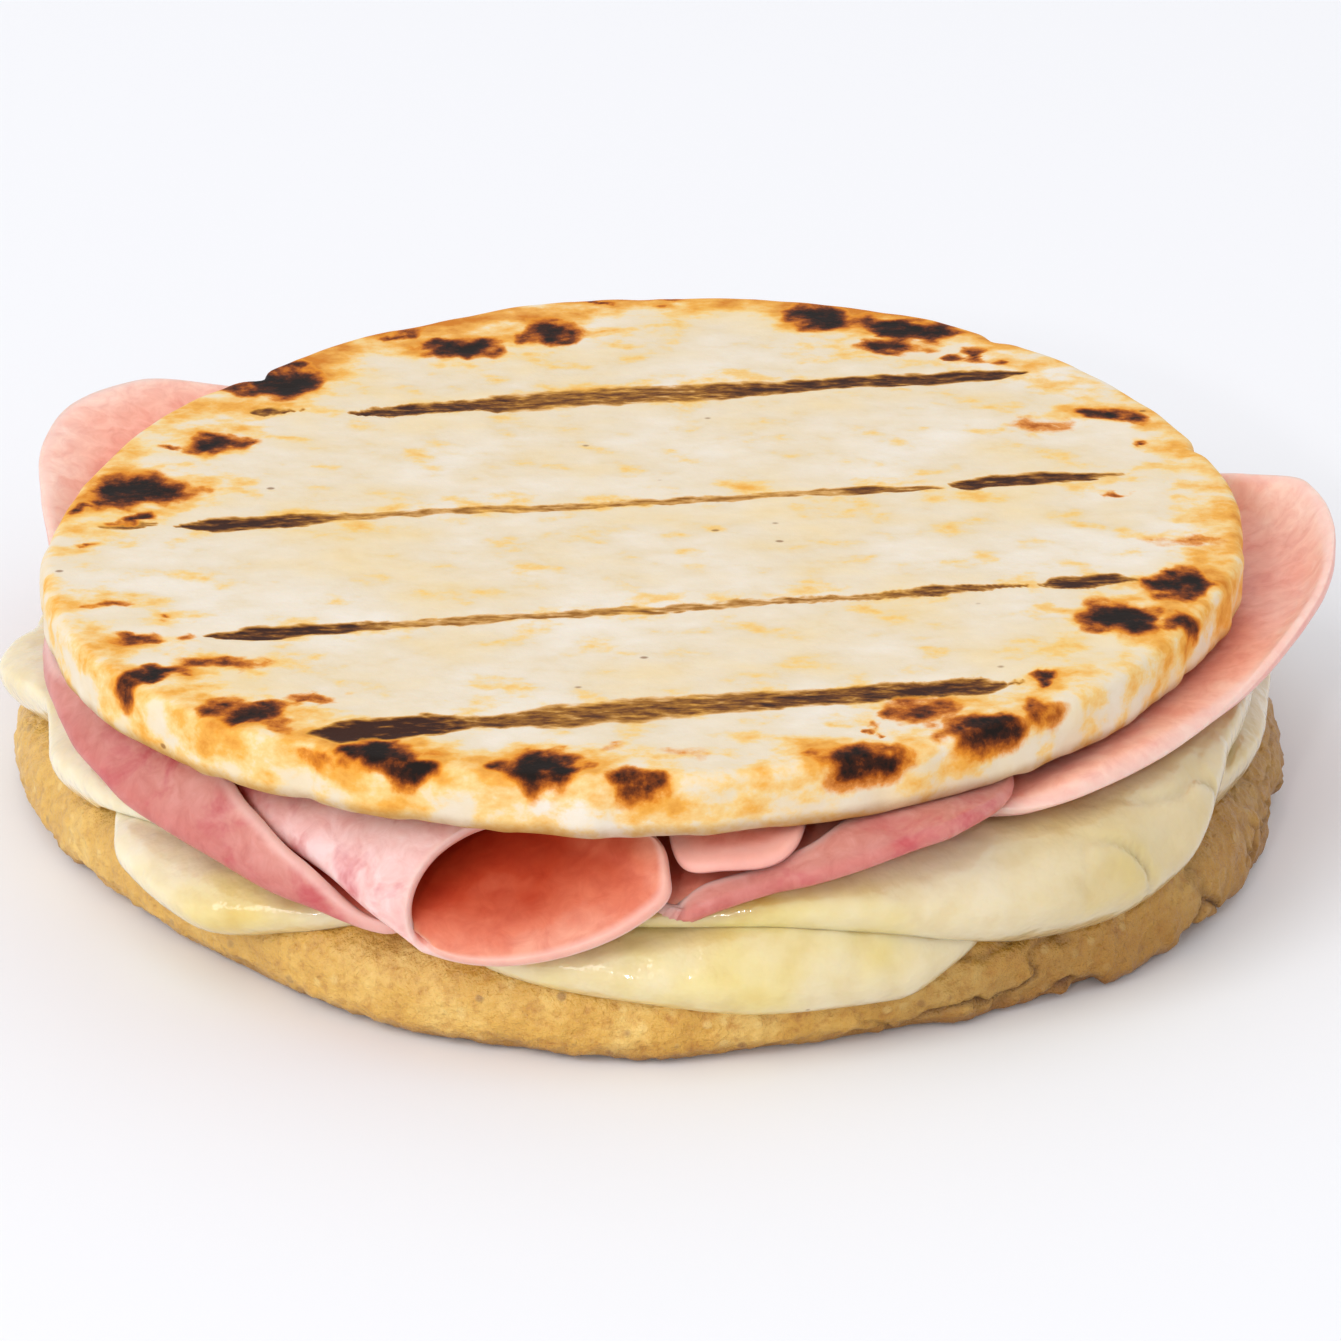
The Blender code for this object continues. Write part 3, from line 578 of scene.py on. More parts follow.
def cheese_rings(keys, below, outer, centre_low, centre_high, seed, relief):
    """Cheese sheet: a level floor, then out along the rays to its drooping edge, where
    it closes in a quarter-circle bead, and back over its outer face.

    The outer face swells by clouds of 15, 6 and 2.2 mm, is creased on CREASED_SIDE
    where a cloud of 6 mm crosses zero, and dips at CHEESE_DIMPLE, all fading out under
    the ham."""
    azimuth = azimuths(720)[None]
    edge, lift = keyed(azimuth, keys, 3), keyed(azimuth, keys, 4)
    share = np.concatenate((np.linspace(0.0, 0.8, 30)[:-1],
                            0.8 + 0.2 * np.sin(np.radians(np.linspace(0.0, 90.0, 14)))))[:, None]
    tilt = 90.0 + (edge - 90.0) * share
    raised = lift * ease(share, 0.3, 1.0)
    inside = below(azimuth, tilt) + GAP + raised
    bead = np.sqrt(np.clip(1.0 - np.clip((share - 0.8) / 0.2, 0.0, 1.0)**2, 0.0, 1.0))
    full = outer(azimuth, tilt) + raised
    place = ray(azimuth, tilt, full)
    swell = (0.50 * clouds(place, 15.0, seed) + 0.34 * clouds(place, 6.0, seed + 2)
             + 0.16 * clouds(place, 2.2, seed + 4))
    pinched = within(azimuth, CREASED_SIDE)
    crease = 1.0 - ease(np.abs(clouds(place * (1.0, 1.0, 0.45), 6.0, seed + 6)), 0.0, 0.09)
    dip = np.exp(-(((place - CHEESE_DIMPLE) / 3.2)**2).sum(axis=-1))
    swell = swell - 0.9 * pinched * crease - 1.5 * dip
    swell = swell * (1.0 - ease(tilt, 50.0, 74.0))
    outside = inside + (full + relief * swell - inside) * bead
    floor = np.array((0.04, 0.4, LEVEL_SHARE))[:, None] * (lower_rim(azimuth) - SHELF)
    return stack(polar(azimuth, floor, centre_low), ray(azimuth, tilt, inside)[:-1],
                 ray(azimuth, tilt, outside)[::-1], polar(azimuth, floor, centre_high)[::-1])


def right_level(azimuth, radius):
    """Height of the right slice's middle surface where it lies on the cheese."""
    rim_height = FOOT + upper_cheese_reach(azimuth, 90.0)
    return settled(azimuth, radius, rim_height, CHEESE_CENTRE) + BED_GAP + 0.5 * HAM


def left_level(azimuth, radius):
    """The left slice lies on the right one, then comes down beyond its edge."""
    past = radius - keyed(azimuth, RIGHT_SLICE, 3)
    return right_level(azimuth, radius) + (2.0 * GAP + HAM) * (1.0 - ease(past, *STEP_DOWN))


def outside_cheese(azimuth, radius, height, half):
    """Points moved out along their rays until a slice clears the cheese."""
    out = radius - (lower_rim(azimuth) - SHELF)
    tilt = np.degrees(np.arctan2(height - FOOT, np.maximum(out, 0.0)))
    reach = np.hypot(out, height - FOOT)
    least = cheese_cover(azimuth, tilt) + GAP + half
    more = np.where(out > 0.0, 0.5 * (least - reach + np.abs(least - reach)), 0.0)
    angle = np.radians(tilt)
    return radius + more * np.cos(angle), height + more * np.sin(angle)


def ham_slice_rings(keys, level, thickness, seed, relief):
    """Ham slice: a floor on what is below, then a rim along the Bezier curve from its
    ring through its bend to its edge, lightly waved by clouds of 11 and 4 mm except on
    BESIDE_ROLL.  The mark "fold" is 0 at the ring and 1 at the edge; the ham's colour is
    painted with shade where it is low, near the ring under the cake, and is paler where it
    is high.  On PAINTED_LIGHT_SIDE it is raised halfway to 1, as painted light."""
    azimuth = azimuths(720)[None]
    bend_radius, bend_height = keyed(azimuth, keys, 1), keyed(azimuth, keys, 2)
    edge_radius, edge_height = keyed(azimuth, keys, 3), keyed(azimuth, keys, 4)
    ring_radius = lower_rim(azimuth) - SHELF
    start = np.minimum(ring_radius, bend_radius - 2.0)
    floor = (np.array((0.04, 0.4, 0.75, 1.0))[:, None]
             * np.minimum(LEVEL_SHARE * ring_radius, start - 1.0))
    t = np.linspace(0.0, 1.0, 44)[:, None]
    first, middle, last = (1 - t)**3, 3 * t * (1 - t), t**3
    radius = first * start + middle * bend_radius + last * edge_radius
    height = first * level(azimuth, start) + middle * bend_height + last * edge_height
    inside = ease(ring_radius - radius, 2.0, 8.0)
    height = height + inside * (level(azimuth, radius) - height)
    rim = polar(azimuth, *outside_cheese(azimuth, radius, height, 0.55 * thickness))
    rings = stack(polar(azimuth, floor, level(azimuth, floor)), rim)
    waved = 0.30 * clouds(rings, 11.0, seed) + 0.13 * clouds(rings, 4.0, seed + 2)
    free = np.concatenate((np.zeros(4), ease(t[:, 0], 0.2, 0.6)))[:, None]
    free = free * (1.0 - within(azimuth, BESIDE_ROLL))
    rings = rings + (relief * free * waved)[..., None] * outward(rings)
    length = np.cumsum(np.linalg.norm(np.diff(rings, axis=0), axis=-1), axis=0)
    length = np.concatenate((np.zeros((1, length.shape[1])), length))
    rows, count = rings.shape[:2]
    fold_shade = np.repeat(np.concatenate((np.zeros(4), t[:, 0]))[:, None], count, axis=1)
    # Painted light: on PAINTED_LIGHT_SIDE the mark is raised halfway to 1, lightening the slices
    # near the cake.
    fold_shade = fold_shade + 0.50 * within(azimuth, PAINTED_LIGHT_SIDE) * (1.0 - fold_shade)
    return rings, rounded_edge(rows, count, 5), {"fold_shade": fold_shade, "to_edge": length[-1] - length}


def ham_flap_rings():
    """Rounded corner of a slice: superellipses round its middle, drooping front left."""
    turn = np.radians(np.linspace(0.0, 360.0, 160, endpoint=False))[None]
    share = np.concatenate((np.linspace(0.08, 0.9, 12), np.linspace(0.92, 1.0, 8)))[:, None]
    across = np.sign(np.cos(turn)) * np.abs(np.cos(turn))**FLAP_SQUARE
    along = np.sign(np.sin(turn)) * np.abs(np.sin(turn))**FLAP_SQUARE
    front = np.maximum(-np.sin(turn + 0.5), 0.0)
    x = FLAP_MIDDLE[0] + share * FLAP_HALF[0] * across
    y = FLAP_MIDDLE[1] + share * FLAP_HALF[1] * along
    rings = np.stack((x, y, FLAP_MIDDLE[2] - FLAP_DROOP * share**3 * front**2), axis=-1)
    # Its mark "fold" falls towards the outline, darkening the corner there with the slices'
    # painted shade.
    return rings, rounded_edge(rings.shape[0], rings.shape[1], 6), {
        "fold_shade": 1.0 - 0.7 * share + 0.0 * turn, "to_edge": 6.0 * (1.0 - share) + 0.0 * turn}


def ham_roll_rings(relief):
    """Slice rolled into a horn: leaning rings, fuller at their top right, from its tail to
    its mouth, with the steady cubic through ROLL, run straight on past both ends, along
    its length. The tail closes."""
    turn = np.radians(np.linspace(0.0, 360.0, 260, endpoint=False))[None]
    keys = np.array(ROLL)
    keys = np.vstack((2 * keys[0] - keys[1], keys, 2 * keys[-1] - keys[-2]))
    share = np.concatenate((np.linspace(1.0, 0.034, 62), np.linspace(0.02, 0.0, 8)))[:, None]
    above = np.maximum(np.sin(turn), 0.0)
    fuller = ROLL_FULLNESS * np.maximum(np.cos(turn - 0.25 * np.pi), 0.0)**2
    full = np.sin(turn) * (1.0 + fuller * np.cos(turn)**2)
    wide = np.cos(turn) * (1.0 + fuller * np.sin(turn)**2)
    x, y, across, along, bottom, top = (steady(keys[:, 0], column.copy(), share)
                                        for column in keys[:, 1:].T)
    rings = np.stack((
        x + across * wide,
        y + along * wide + (1 - share) * (ROLL_LEAN * full + ROLL_SET_BACK * above**2),
        0.5 * (top + bottom) + 0.5 * (top - bottom) * full
        + ROLL_TWIST * (1 - share) * wide * ease(-full, -1.0, 0.6)), axis=-1)
    heart = rings.mean(axis=1, keepdims=True)
    spread = 0.04 + 0.96 * ease(share, 1.0, 0.93)
    rings = heart + spread[..., None] * (rings - heart)
    rings = rings + relief * 0.22 * clouds(rings, 7.0, 91)[..., None] * outward(rings)
    # The mark "fold" runs from 0 at the mouth to 1 at the tail; the roll's inside darkens along
    # it as painted shade.
    depth = share + 0.0 * turn
    return rings, rounded_edge(rings.shape[0], rings.shape[1], 6), {
        "fold_shade": depth, "to_edge": ROLL_LENGTH * depth}


def linear(code, alpha=1.0):
    """Linear RGBA of an sRGB hex colour."""
    parts = (int(code[i:i + 2], 16) / 255.0 for i in (1, 3, 5))
    return (*(c / 12.92 if c <= 0.04045 else ((c + 0.055) / 1.055)**2.4 for c in parts), alpha)


def per(size):
    """Texture scale of a pattern that repeats every size millimetres."""
    return 1.0 / (size * MM)


def add(tree, kind, inputs=None, stops=(), **settings):
    """Add a node with its settings, its inputs, each a value or what feeds it, and the
    stops of its colour ramp, each a place and a colour."""
    node = tree.nodes.new("ShaderNode" + kind)
    for key, value in settings.items():
        setattr(node, key, value)
    for key, value in (inputs or {}).items():
        if isinstance(value, bpy.types.Node):
            value = next(socket for socket in value.outputs if socket.enabled)
        if isinstance(value, bpy.types.NodeSocket):
            tree.links.new(value, node.inputs[key])
        else:
            node.inputs[key].default_value = value
    for number, (stop, colour) in enumerate(stops):
        elements = node.color_ramp.elements
        if number == 0:
            elements.remove(elements[1])
            elements[0].position = stop
        element = elements.new(stop) if number else elements[0]
        element.color = colour
    return node


def finish(name, inputs):
    """New material with a Principled shader that has those fixed inputs."""
    made = bpy.data.materials.new(name)
    made.use_nodes = True
    tree = made.node_tree
    tree.nodes.clear()
    shader = add(tree, "BsdfPrincipled", inputs)
    add(tree, "OutputMaterial", {"Surface": shader})
    return made, tree, shader


def white_corn_dough(looks):
    """Griddled white corn dough.

    Precooked white cornmeal kneaded with water, flattened and griddled on hot bars: a
    dry, matt ivory crust, mottled yellow where its starch has browned, golden towards
    the rim, and burnt from amber through brown to black on bars and high spots."""
    made, tree, shader = finish("griddled_white_corn_dough", {
        "Roughness": 0.74, "IOR": 1.4, "Specular IOR Level": 0.28, "Subsurface Weight": 0.06,
        "Subsurface Radius": (1.0, 0.6, 0.35), "Subsurface Scale": 0.0012})
    place = add(tree, "TexCoord").outputs["Object"]
    # Mottles are drawn out a little along the bars, as the dough was pressed that way.
    drawn = add(tree, "Mapping", {"Vector": place, "Scale": (0.72, 1.0, 1.0)})
    streaked = add(tree, "Mapping", {"Vector": place, "Scale": (0.35, 1.0, 1.0)})
    broad = add(tree, "TexNoise", {"Vector": drawn, "Scale": per(12.0), "Detail": 3.0,
                                   "Roughness": 0.55})
    small = add(tree, "TexNoise", {"Vector": drawn, "Scale": per(4.0), "Detail": 5.0,
                                   "Roughness": 0.6})
    fine = add(tree, "TexNoise", {"Vector": place, "Scale": per(0.9), "Detail": 4.0,
                                  "Roughness": 0.65})
    streak = add(tree, "TexNoise", {"Vector": streaked, "Scale": per(0.8), "Detail": 3.0,
                                    "Roughness": 0.6})
    crumb = add(tree, "ValToRGB", {"Fac": broad}, stops=(
        (0.34, linear("#ece3d6")), (0.50, looks.white_dough[:]), (0.64, linear("#ecd9b4")),
        (0.76, linear("#e9cb90"))))
    mottle = add(tree, "ValToRGB", {"Fac": small}, stops=(
        (0.32, linear("#fffdf9")), (0.52, linear("#faf5ea")), (0.68, linear("#f4e6c4"))))
    colour = add(tree, "Mix", {"Factor": 0.8, 6: crumb, 7: mottle}, data_type="RGBA",
                 blend_type="MULTIPLY")
    toast = add(tree, "Attribute", attribute_name="toast").outputs["Fac"]
    halo = add(tree, "Attribute", attribute_name="halo").outputs["Fac"]
    char = add(tree, "Attribute", attribute_name="char").outputs["Fac"]
    bars = add(tree, "Attribute", attribute_name="bars").outputs["Fac"]
    # Browning: toast, halo and mottle added, so that it comes in broken patches.
    heat = add(tree, "Math", {0: toast, 1: 0.60, 2: -1.02}, operation="MULTIPLY_ADD")
    heat = add(tree, "Math", {0: halo, 1: 0.62, 2: heat}, operation="MULTIPLY_ADD")
    heat = add(tree, "Math", {0: small, 1: 1.95, 2: heat}, operation="MULTIPLY_ADD")
    gold = add(tree, "ValToRGB", {"Fac": heat}, stops=(
        (0.10, linear("#f5d48a", 0.0)), (0.28, linear("#f4c668", 0.66)),
        (0.50, linear("#eda93c", 0.92)), (0.84, linear("#cf7c1e", 1.0))))
    colour = add(tree, "Mix", {"Factor": gold.outputs["Alpha"], 6: colour, 7: gold},
                 data_type="RGBA")
    # Bar marks: brown, streaked with gold where the crust has only browned.
    dragged = add(tree, "Math", {0: streak, 1: 2.2, 2: -0.12}, operation="MULTIPLY_ADD")
    branded = add(tree, "Math", {0: bars, 1: dragged}, operation="MULTIPLY")
    branded = add(tree, "Math", {0: branded, 1: looks.char_amount}, operation="MULTIPLY")
    seared = add(tree, "ValToRGB", {"Fac": branded}, stops=(
        (0.14, linear("#eab050", 0.0)), (0.30, linear("#d29434", 0.8)),
        (0.50, linear("#a06a24", 1.0)), (0.70, linear("#6c3d14", 1.0)),
        (0.94, linear("#38190a", 1.0))))
    colour = add(tree, "Mix", {"Factor": seared.outputs["Alpha"], 6: colour, 7: seared},
                 data_type="RGBA")
    # Char: the field's outline crackles at the grain of the meal.
    grit = add(tree, "Math", {0: fine, 1: 1.3, 2: 0.35}, operation="MULTIPLY_ADD")
    burnt = add(tree, "Math", {0: char, 1: grit}, operation="MULTIPLY")
    burnt = add(tree, "Math", {0: burnt, 1: looks.char_amount}, operation="MULTIPLY")
    soot = add(tree, "ValToRGB", {"Fac": burnt}, stops=(
        (0.10, linear("#f2ae3e", 0.0)), (0.24, linear("#dd861c", 0.9)),
        (0.38, linear("#b05c10", 1.0)), (0.52, linear("#743408", 1.0)),
        (0.68, linear("#3c1806", 1.0)), (0.90, looks.char[:])))
    colour = add(tree, "Mix", {"Factor": soot.outputs["Alpha"], 6: colour, 7: soot},
                 data_type="RGBA")
    # The side has a browned seam low down.
    side = add(tree, "Attribute", attribute_name="side").outputs["Fac"]
    height = add(tree, "SeparateXYZ", {0: place}).outputs["Z"]
    seam = add(tree, "MapRange", {"Value": height, "From Min": (UPPER_LOW + 1.9) * MM,
                                  "From Max": (UPPER_LOW + 0.5) * MM, "To Max": 1.3},
               interpolation_type="SMOOTHSTEP")
    seam = add(tree, "Math", {0: seam, 1: small}, operation="MULTIPLY")
    seam = add(tree, "Math", {0: seam, 1: side}, operation="MULTIPLY")
    colour = add(tree, "Mix", {"Factor": seam, 6: colour, 7: linear("#a8793f")},
                 data_type="RGBA")
    # Bran flecks: one in four cells holds a brown dot half a millimetre across.
    cells = add(tree, "TexVoronoi", {"Vector": drawn, "Scale": per(4.6)})
    chosen = add(tree, "SeparateColor", {0: cells.outputs["Color"]})
    dot = add(tree, "MapRange", {"Value": cells.outputs["Distance"], "From Min": 0.085,
                                 "From Max": 0.035}, interpolation_type="SMOOTHSTEP")
    kept = add(tree, "Math", {0: chosen, 1: 0.74}, operation="GREATER_THAN")
    fleck = add(tree, "Math", {0: dot, 1: kept}, operation="MULTIPLY")
    fleck = add(tree, "Math", {0: fleck, 1: 0.7}, operation="MULTIPLY")
    colour = add(tree, "Mix", {"Factor": fleck, 6: colour, 7: linear("#7d4a1e")},
                 data_type="RGBA")
    tree.links.new(colour.outputs[2], shader.inputs["Base Color"])
    crust = add(tree, "Bump", {"Height": small, "Strength": 0.35, "Distance": 0.35 * MM})
    skinned = add(tree, "Bump", {"Height": fine, "Strength": 0.5, "Distance": 0.12 * MM,
                                 "Normal": crust})
    tree.links.new(skinned.outputs[0], shader.inputs["Normal"])
    return made


def yellow_corn_dough(looks):
    """Griddled yellow corn dough.

    Coarser yellow cornmeal, patted out by hand and griddled slowly: grainy, with
    bright and brown grits in a slightly oily crumb that browns at its foot.  Its cracks
    and its right side are darkened with painted shade."""
    made, tree, shader = finish("griddled_yellow_corn_dough", {
        "Roughness": 0.45, "IOR": 1.46, "Subsurface Weight": 0.06,
        "Subsurface Radius": (1.0, 0.6, 0.3), "Subsurface Scale": 0.001,
        "Coat Weight": 0.3, "Coat Roughness": 0.2})
    place = add(tree, "TexCoord").outputs["Object"]
    broad = add(tree, "TexNoise", {"Vector": place, "Scale": per(9.0), "Detail": 4.0,
                                   "Roughness": 0.6})
    fine = add(tree, "TexNoise", {"Vector": place, "Scale": per(1.2), "Detail": 4.0,
                                  "Roughness": 0.65})
    crumb = add(tree, "ValToRGB", {"Fac": broad}, stops=(
        (0.32, linear("#cd9a3c")), (0.50, looks.yellow_dough[:]), (0.68, linear("#f0ca76"))))
    grain = add(tree, "ValToRGB", {"Fac": fine}, stops=(
        (0.30, linear("#cfae78")), (0.50, linear("#f8f1e2")), (0.68, linear("#ffffff"))))
    colour = add(tree, "Mix", {"Factor": 0.8, 6: crumb, 7: grain}, data_type="RGBA",
                 blend_type="MULTIPLY")
    # Grits 1.5 mm apart: one in four is pale, and one in twelve browned.
    cells = add(tree, "TexVoronoi", {"Vector": place, "Scale": per(1.5)})
    chosen = add(tree, "SeparateColor", {0: cells.outputs["Color"]})
    dot = add(tree, "MapRange", {"Value": cells.outputs["Distance"], "From Min": 0.42,
                                 "From Max": 0.18}, interpolation_type="SMOOTHSTEP")
    for share, code, strength in ((0.75, "#f2cf80", 0.55), (0.92, "#8f5a22", 0.7)):
        kept = add(tree, "Math", {0: chosen, 1: share}, operation="GREATER_THAN")
        grit = add(tree, "Math", {0: dot, 1: kept}, operation="MULTIPLY")
        grit = add(tree, "Math", {0: grit, 1: strength}, operation="MULTIPLY")
        colour = add(tree, "Mix", {"Factor": grit, 6: colour, 7: linear(code)},
                     data_type="RGBA")
    # Painted shade deepens the colour evenly to brown on the right, and painted light lightens
    # it on the left.
    across = add(tree, "SeparateXYZ", {0: place}).outputs["X"]
    for near, far, code, strength in ((2.0, 64.0, "#8f5f10", 0.66),
                                      (0.0, -40.0, "#ecc878", 0.24)):
        side = add(tree, "MapRange", {"Value": across, "From Min": near * MM,
                                      "From Max": far * MM, "To Max": strength})
        colour = add(tree, "Mix", {"Factor": side, 6: colour, 7: linear(code)},
                     data_type="RGBA")
    ragged_and_shade = add(tree, "Attribute", attribute_name="ragged_and_shade").outputs["Fac"]
    hollow_shade = add(tree, "Attribute", attribute_name="hollow_shade").outputs["Fac"]
    # Painted shade darkens the lumpy, cracked right side towards brown, most near its foot.
    shaded = add(tree, "Math", {0: ragged_and_shade, 1: 0.6}, operation="MULTIPLY")
    colour = add(tree, "Mix", {"Factor": shaded, 6: colour, 7: linear("#96630f")},
                 data_type="RGBA")
    # Painted shade darkens the cracks, the bites out of the foot and the dips between lumps.
    colour = add(tree, "Mix", {"Factor": hollow_shade, 6: colour, 7: linear("#6b421b")},
                 data_type="RGBA", clamp_factor=True)
    # The foot, and patches of the underside, are browned by the griddle.
    height = add(tree, "SeparateXYZ", {0: place}).outputs["Z"]
    foot = add(tree, "MapRange", {"Value": height, "From Min": 2.6 * MM, "From Max": 0.0},
               interpolation_type="SMOOTHSTEP")
    patch = add(tree, "MapRange", {"Value": broad, "From Min": 0.22, "From Max": 0.56})
    browned = add(tree, "Math", {0: foot, 1: patch}, operation="MULTIPLY")
    browned = add(tree, "Math", {0: browned, 1: 0.85}, operation="MULTIPLY")
    colour = add(tree, "Mix", {"Factor": browned, 6: colour, 7: linear("#88531c")},
                 data_type="RGBA")
    tree.links.new(colour.outputs[2], shader.inputs["Base Color"])
    rough = add(tree, "MapRange", {"Value": broad, "From Min": 0.3, "From Max": 0.7,
                                   "To Min": 0.40, "To Max": 0.62})
    tree.links.new(rough.outputs[0], shader.inputs["Roughness"])
    meal = add(tree, "TexNoise", {"Vector": place, "Scale": per(0.5), "Detail": 2.0,
                                  "Roughness": 0.65})
    milled = add(tree, "Bump", {"Height": meal, "Strength": 1.0, "Distance": 0.26 * MM})
    crust = add(tree, "Bump", {"Height": fine, "Strength": 0.8, "Distance": 0.40 * MM,
                               "Normal": milled})
    gritty = add(tree, "Bump", {"Height": dot, "Strength": 0.4, "Distance": 0.12 * MM,
                                "Normal": crust})
    tree.links.new(gritty.outputs[0], shader.inputs["Normal"])
    tree.links.new(gritty.outputs[0], shader.inputs["Coat Normal"])
    return made


def melted_white_cheese(looks):
    """Melted fresh white cheese.

    Soft cow's-milk cheese run over the cake by heat and set again: smooth, moist and
    translucent under a fine film of butterfat, with faint yellow patches."""
    made, tree, shader = finish("melted_white_cheese", {
        "Roughness": 0.30, "IOR": 1.45, "Subsurface Weight": 0.35,
        "Subsurface Radius": (1.0, 0.72, 0.38), "Subsurface Scale": 0.0024,
        "Coat Weight": 1.0, "Coat Roughness": 0.05})
    place = add(tree, "TexCoord").outputs["Object"]
    broad = add(tree, "TexNoise", {"Vector": place, "Scale": per(17.0), "Detail": 3.0,
                                   "Roughness": 0.55})
    small = add(tree, "TexNoise", {"Vector": place, "Scale": per(4.0), "Detail": 3.0,
                                   "Roughness": 0.5})
    fine = add(tree, "TexNoise", {"Vector": place, "Scale": per(1.1), "Detail": 2.0,
                                  "Roughness": 0.5})
    curd = add(tree, "ValToRGB", {"Fac": broad}, stops=(
        (0.36, linear("#f1e6c8")), (0.52, looks.cheese[:]), (0.66, linear("#e8d590")),
        (0.76, linear("#dfbe52"))))
    milky = add(tree, "ValToRGB", {"Fac": small}, stops=(
        (0.34, linear("#f1e8d2")), (0.50, linear("#fbf8ef")), (0.66, linear("#ffffff"))))
    colour = add(tree, "Mix", {"Factor": 0.7, 6: curd, 7: milky}, data_type="RGBA",
                 blend_type="MULTIPLY")
    # Painted shade: the colour deepens evenly to a darker straw on the right.
    across = add(tree, "SeparateXYZ", {0: place}).outputs["X"]
    painted_right_shade = add(tree, "MapRange", {"Value": across, "From Min": 8.0 * MM,
                                  "From Max": 60.0 * MM, "To Max": 0.66})
    colour = add(tree, "Mix", {"Factor": painted_right_shade, 6: colour, 7: linear("#bb9c5c")},
                 data_type="RGBA")
    # A few brown specks of meal stick to it.
    cells = add(tree, "TexVoronoi", {"Vector": place, "Scale": per(3.4)})
    chosen = add(tree, "SeparateColor", {0: cells.outputs["Color"]})
    kept = add(tree, "Math", {0: chosen, 1: 0.86}, operation="GREATER_THAN")
    dot = add(tree, "MapRange", {"Value": cells.outputs["Distance"], "From Min": 0.09,
                                 "From Max": 0.04, "To Max": 0.75})
    speck = add(tree, "Math", {0: dot, 1: kept}, operation="MULTIPLY")
    colour = add(tree, "Mix", {"Factor": speck, 6: colour, 7: linear("#8c6a34")},
                 data_type="RGBA")
    tree.links.new(colour.outputs[2], shader.inputs["Base Color"])
    soft = add(tree, "Bump", {"Height": small, "Strength": 0.7, "Distance": 0.55 * MM})
    pitted = add(tree, "Bump", {"Height": fine, "Strength": 0.6, "Distance": 0.16 * MM,
                                "Normal": soft})
    tree.links.new(pitted.outputs[0], shader.inputs["Normal"])
    tree.links.new(pitted.outputs[0], shader.inputs["Coat Normal"])
    return made


def cooked_ham(name, looks, outer_stops, inner_stops):
    """Cooked pressed ham.

    Brined pork leg pressed in a mould, steamed and cut 1.3 mm thick: moist, slightly
    translucent lean with faint fibres, pale at the cut.  Its colour is painted with shade,
    deeper red, near the cake and deep in the roll, and with light, paler pink, on the
    slices' inner face and the roll's outside."""
    made, tree, shader = finish(name, {
        "Roughness": 0.42, "IOR": 1.42, "Subsurface Weight": 0.45,
        "Subsurface Radius": (1.0, 0.42, 0.30), "Subsurface Scale": 0.0030,
        "Coat Weight": 0.2, "Coat Roughness": 0.25})
    place = add(tree, "TexCoord").outputs["Object"]
    broad = add(tree, "TexNoise", {"Vector": place, "Scale": per(10.0), "Detail": 4.0,
                                   "Roughness": 0.55})
    fibre = add(tree, "TexNoise", {"Vector": place, "Scale": per(2.2), "Detail": 5.0,
                                   "Roughness": 0.6, "Distortion": 0.6})
    # The mark "fold" picks from the ramps: painted shade where it is low, lighter colours where
    # it is high.
    fold_shade = add(tree, "Attribute", attribute_name="fold_shade").outputs["Fac"]
    wander = add(tree, "Math", {0: broad, 1: 0.5, 2: -0.25}, operation="MULTIPLY_ADD")
    depth = add(tree, "Math", {0: fold_shade, 1: wander}, operation="ADD")
    outer = add(tree, "ValToRGB", {"Fac": depth}, stops=outer_stops)
    inner = add(tree, "ValToRGB", {"Fac": depth}, stops=inner_stops)
    face = add(tree, "Attribute", attribute_name="face").outputs["Fac"]
    colour = add(tree, "Mix", {"Factor": face, 6: inner, 7: outer}, data_type="RGBA")
    marbled = add(tree, "ValToRGB", {"Fac": fibre}, stops=(
        (0.32, linear("#e9c9c4")), (0.50, linear("#f6e9e6")), (0.66, linear("#ffffff"))))
    colour = add(tree, "Mix", {"Factor": 0.8, 6: colour, 7: marbled}, data_type="RGBA",
                 blend_type="MULTIPLY")
    # Cured lean is crimson in a few streaks of its outer face.
    lean = add(tree, "TexNoise", {"Vector": place, "Scale": per(6.0), "Detail": 4.0,
                                  "Roughness": 0.6, "Distortion": 0.4})
    cured = add(tree, "ValToRGB", {"Fac": lean}, stops=(
        (0.54, linear("#c4485a", 0.0)), (0.68, linear("#bb3446", 0.6))))
    streak = add(tree, "Math", {0: cured.outputs["Alpha"], 1: face}, operation="MULTIPLY")
    colour = add(tree, "Mix", {"Factor": streak, 6: colour, 7: cured}, data_type="RGBA")
    # The cut edge is paler for about a millimetre.
    to_edge = add(tree, "Attribute", attribute_name="to_edge").outputs["Fac"]
    cut = add(tree, "MapRange", {"Value": to_edge, "From Min": 1.6, "From Max": 0.5,
                                 "To Max": 0.55}, interpolation_type="SMOOTHSTEP")
    colour = add(tree, "Mix", {"Factor": cut, 6: colour, 7: looks.ham_edge[:]},
                 data_type="RGBA")
    tree.links.new(colour.outputs[2], shader.inputs["Base Color"])
    grain = add(tree, "Bump", {"Height": fibre, "Strength": 0.4, "Distance": 0.14 * MM})
    tree.links.new(grain.outputs[0], shader.inputs["Normal"])
    return made


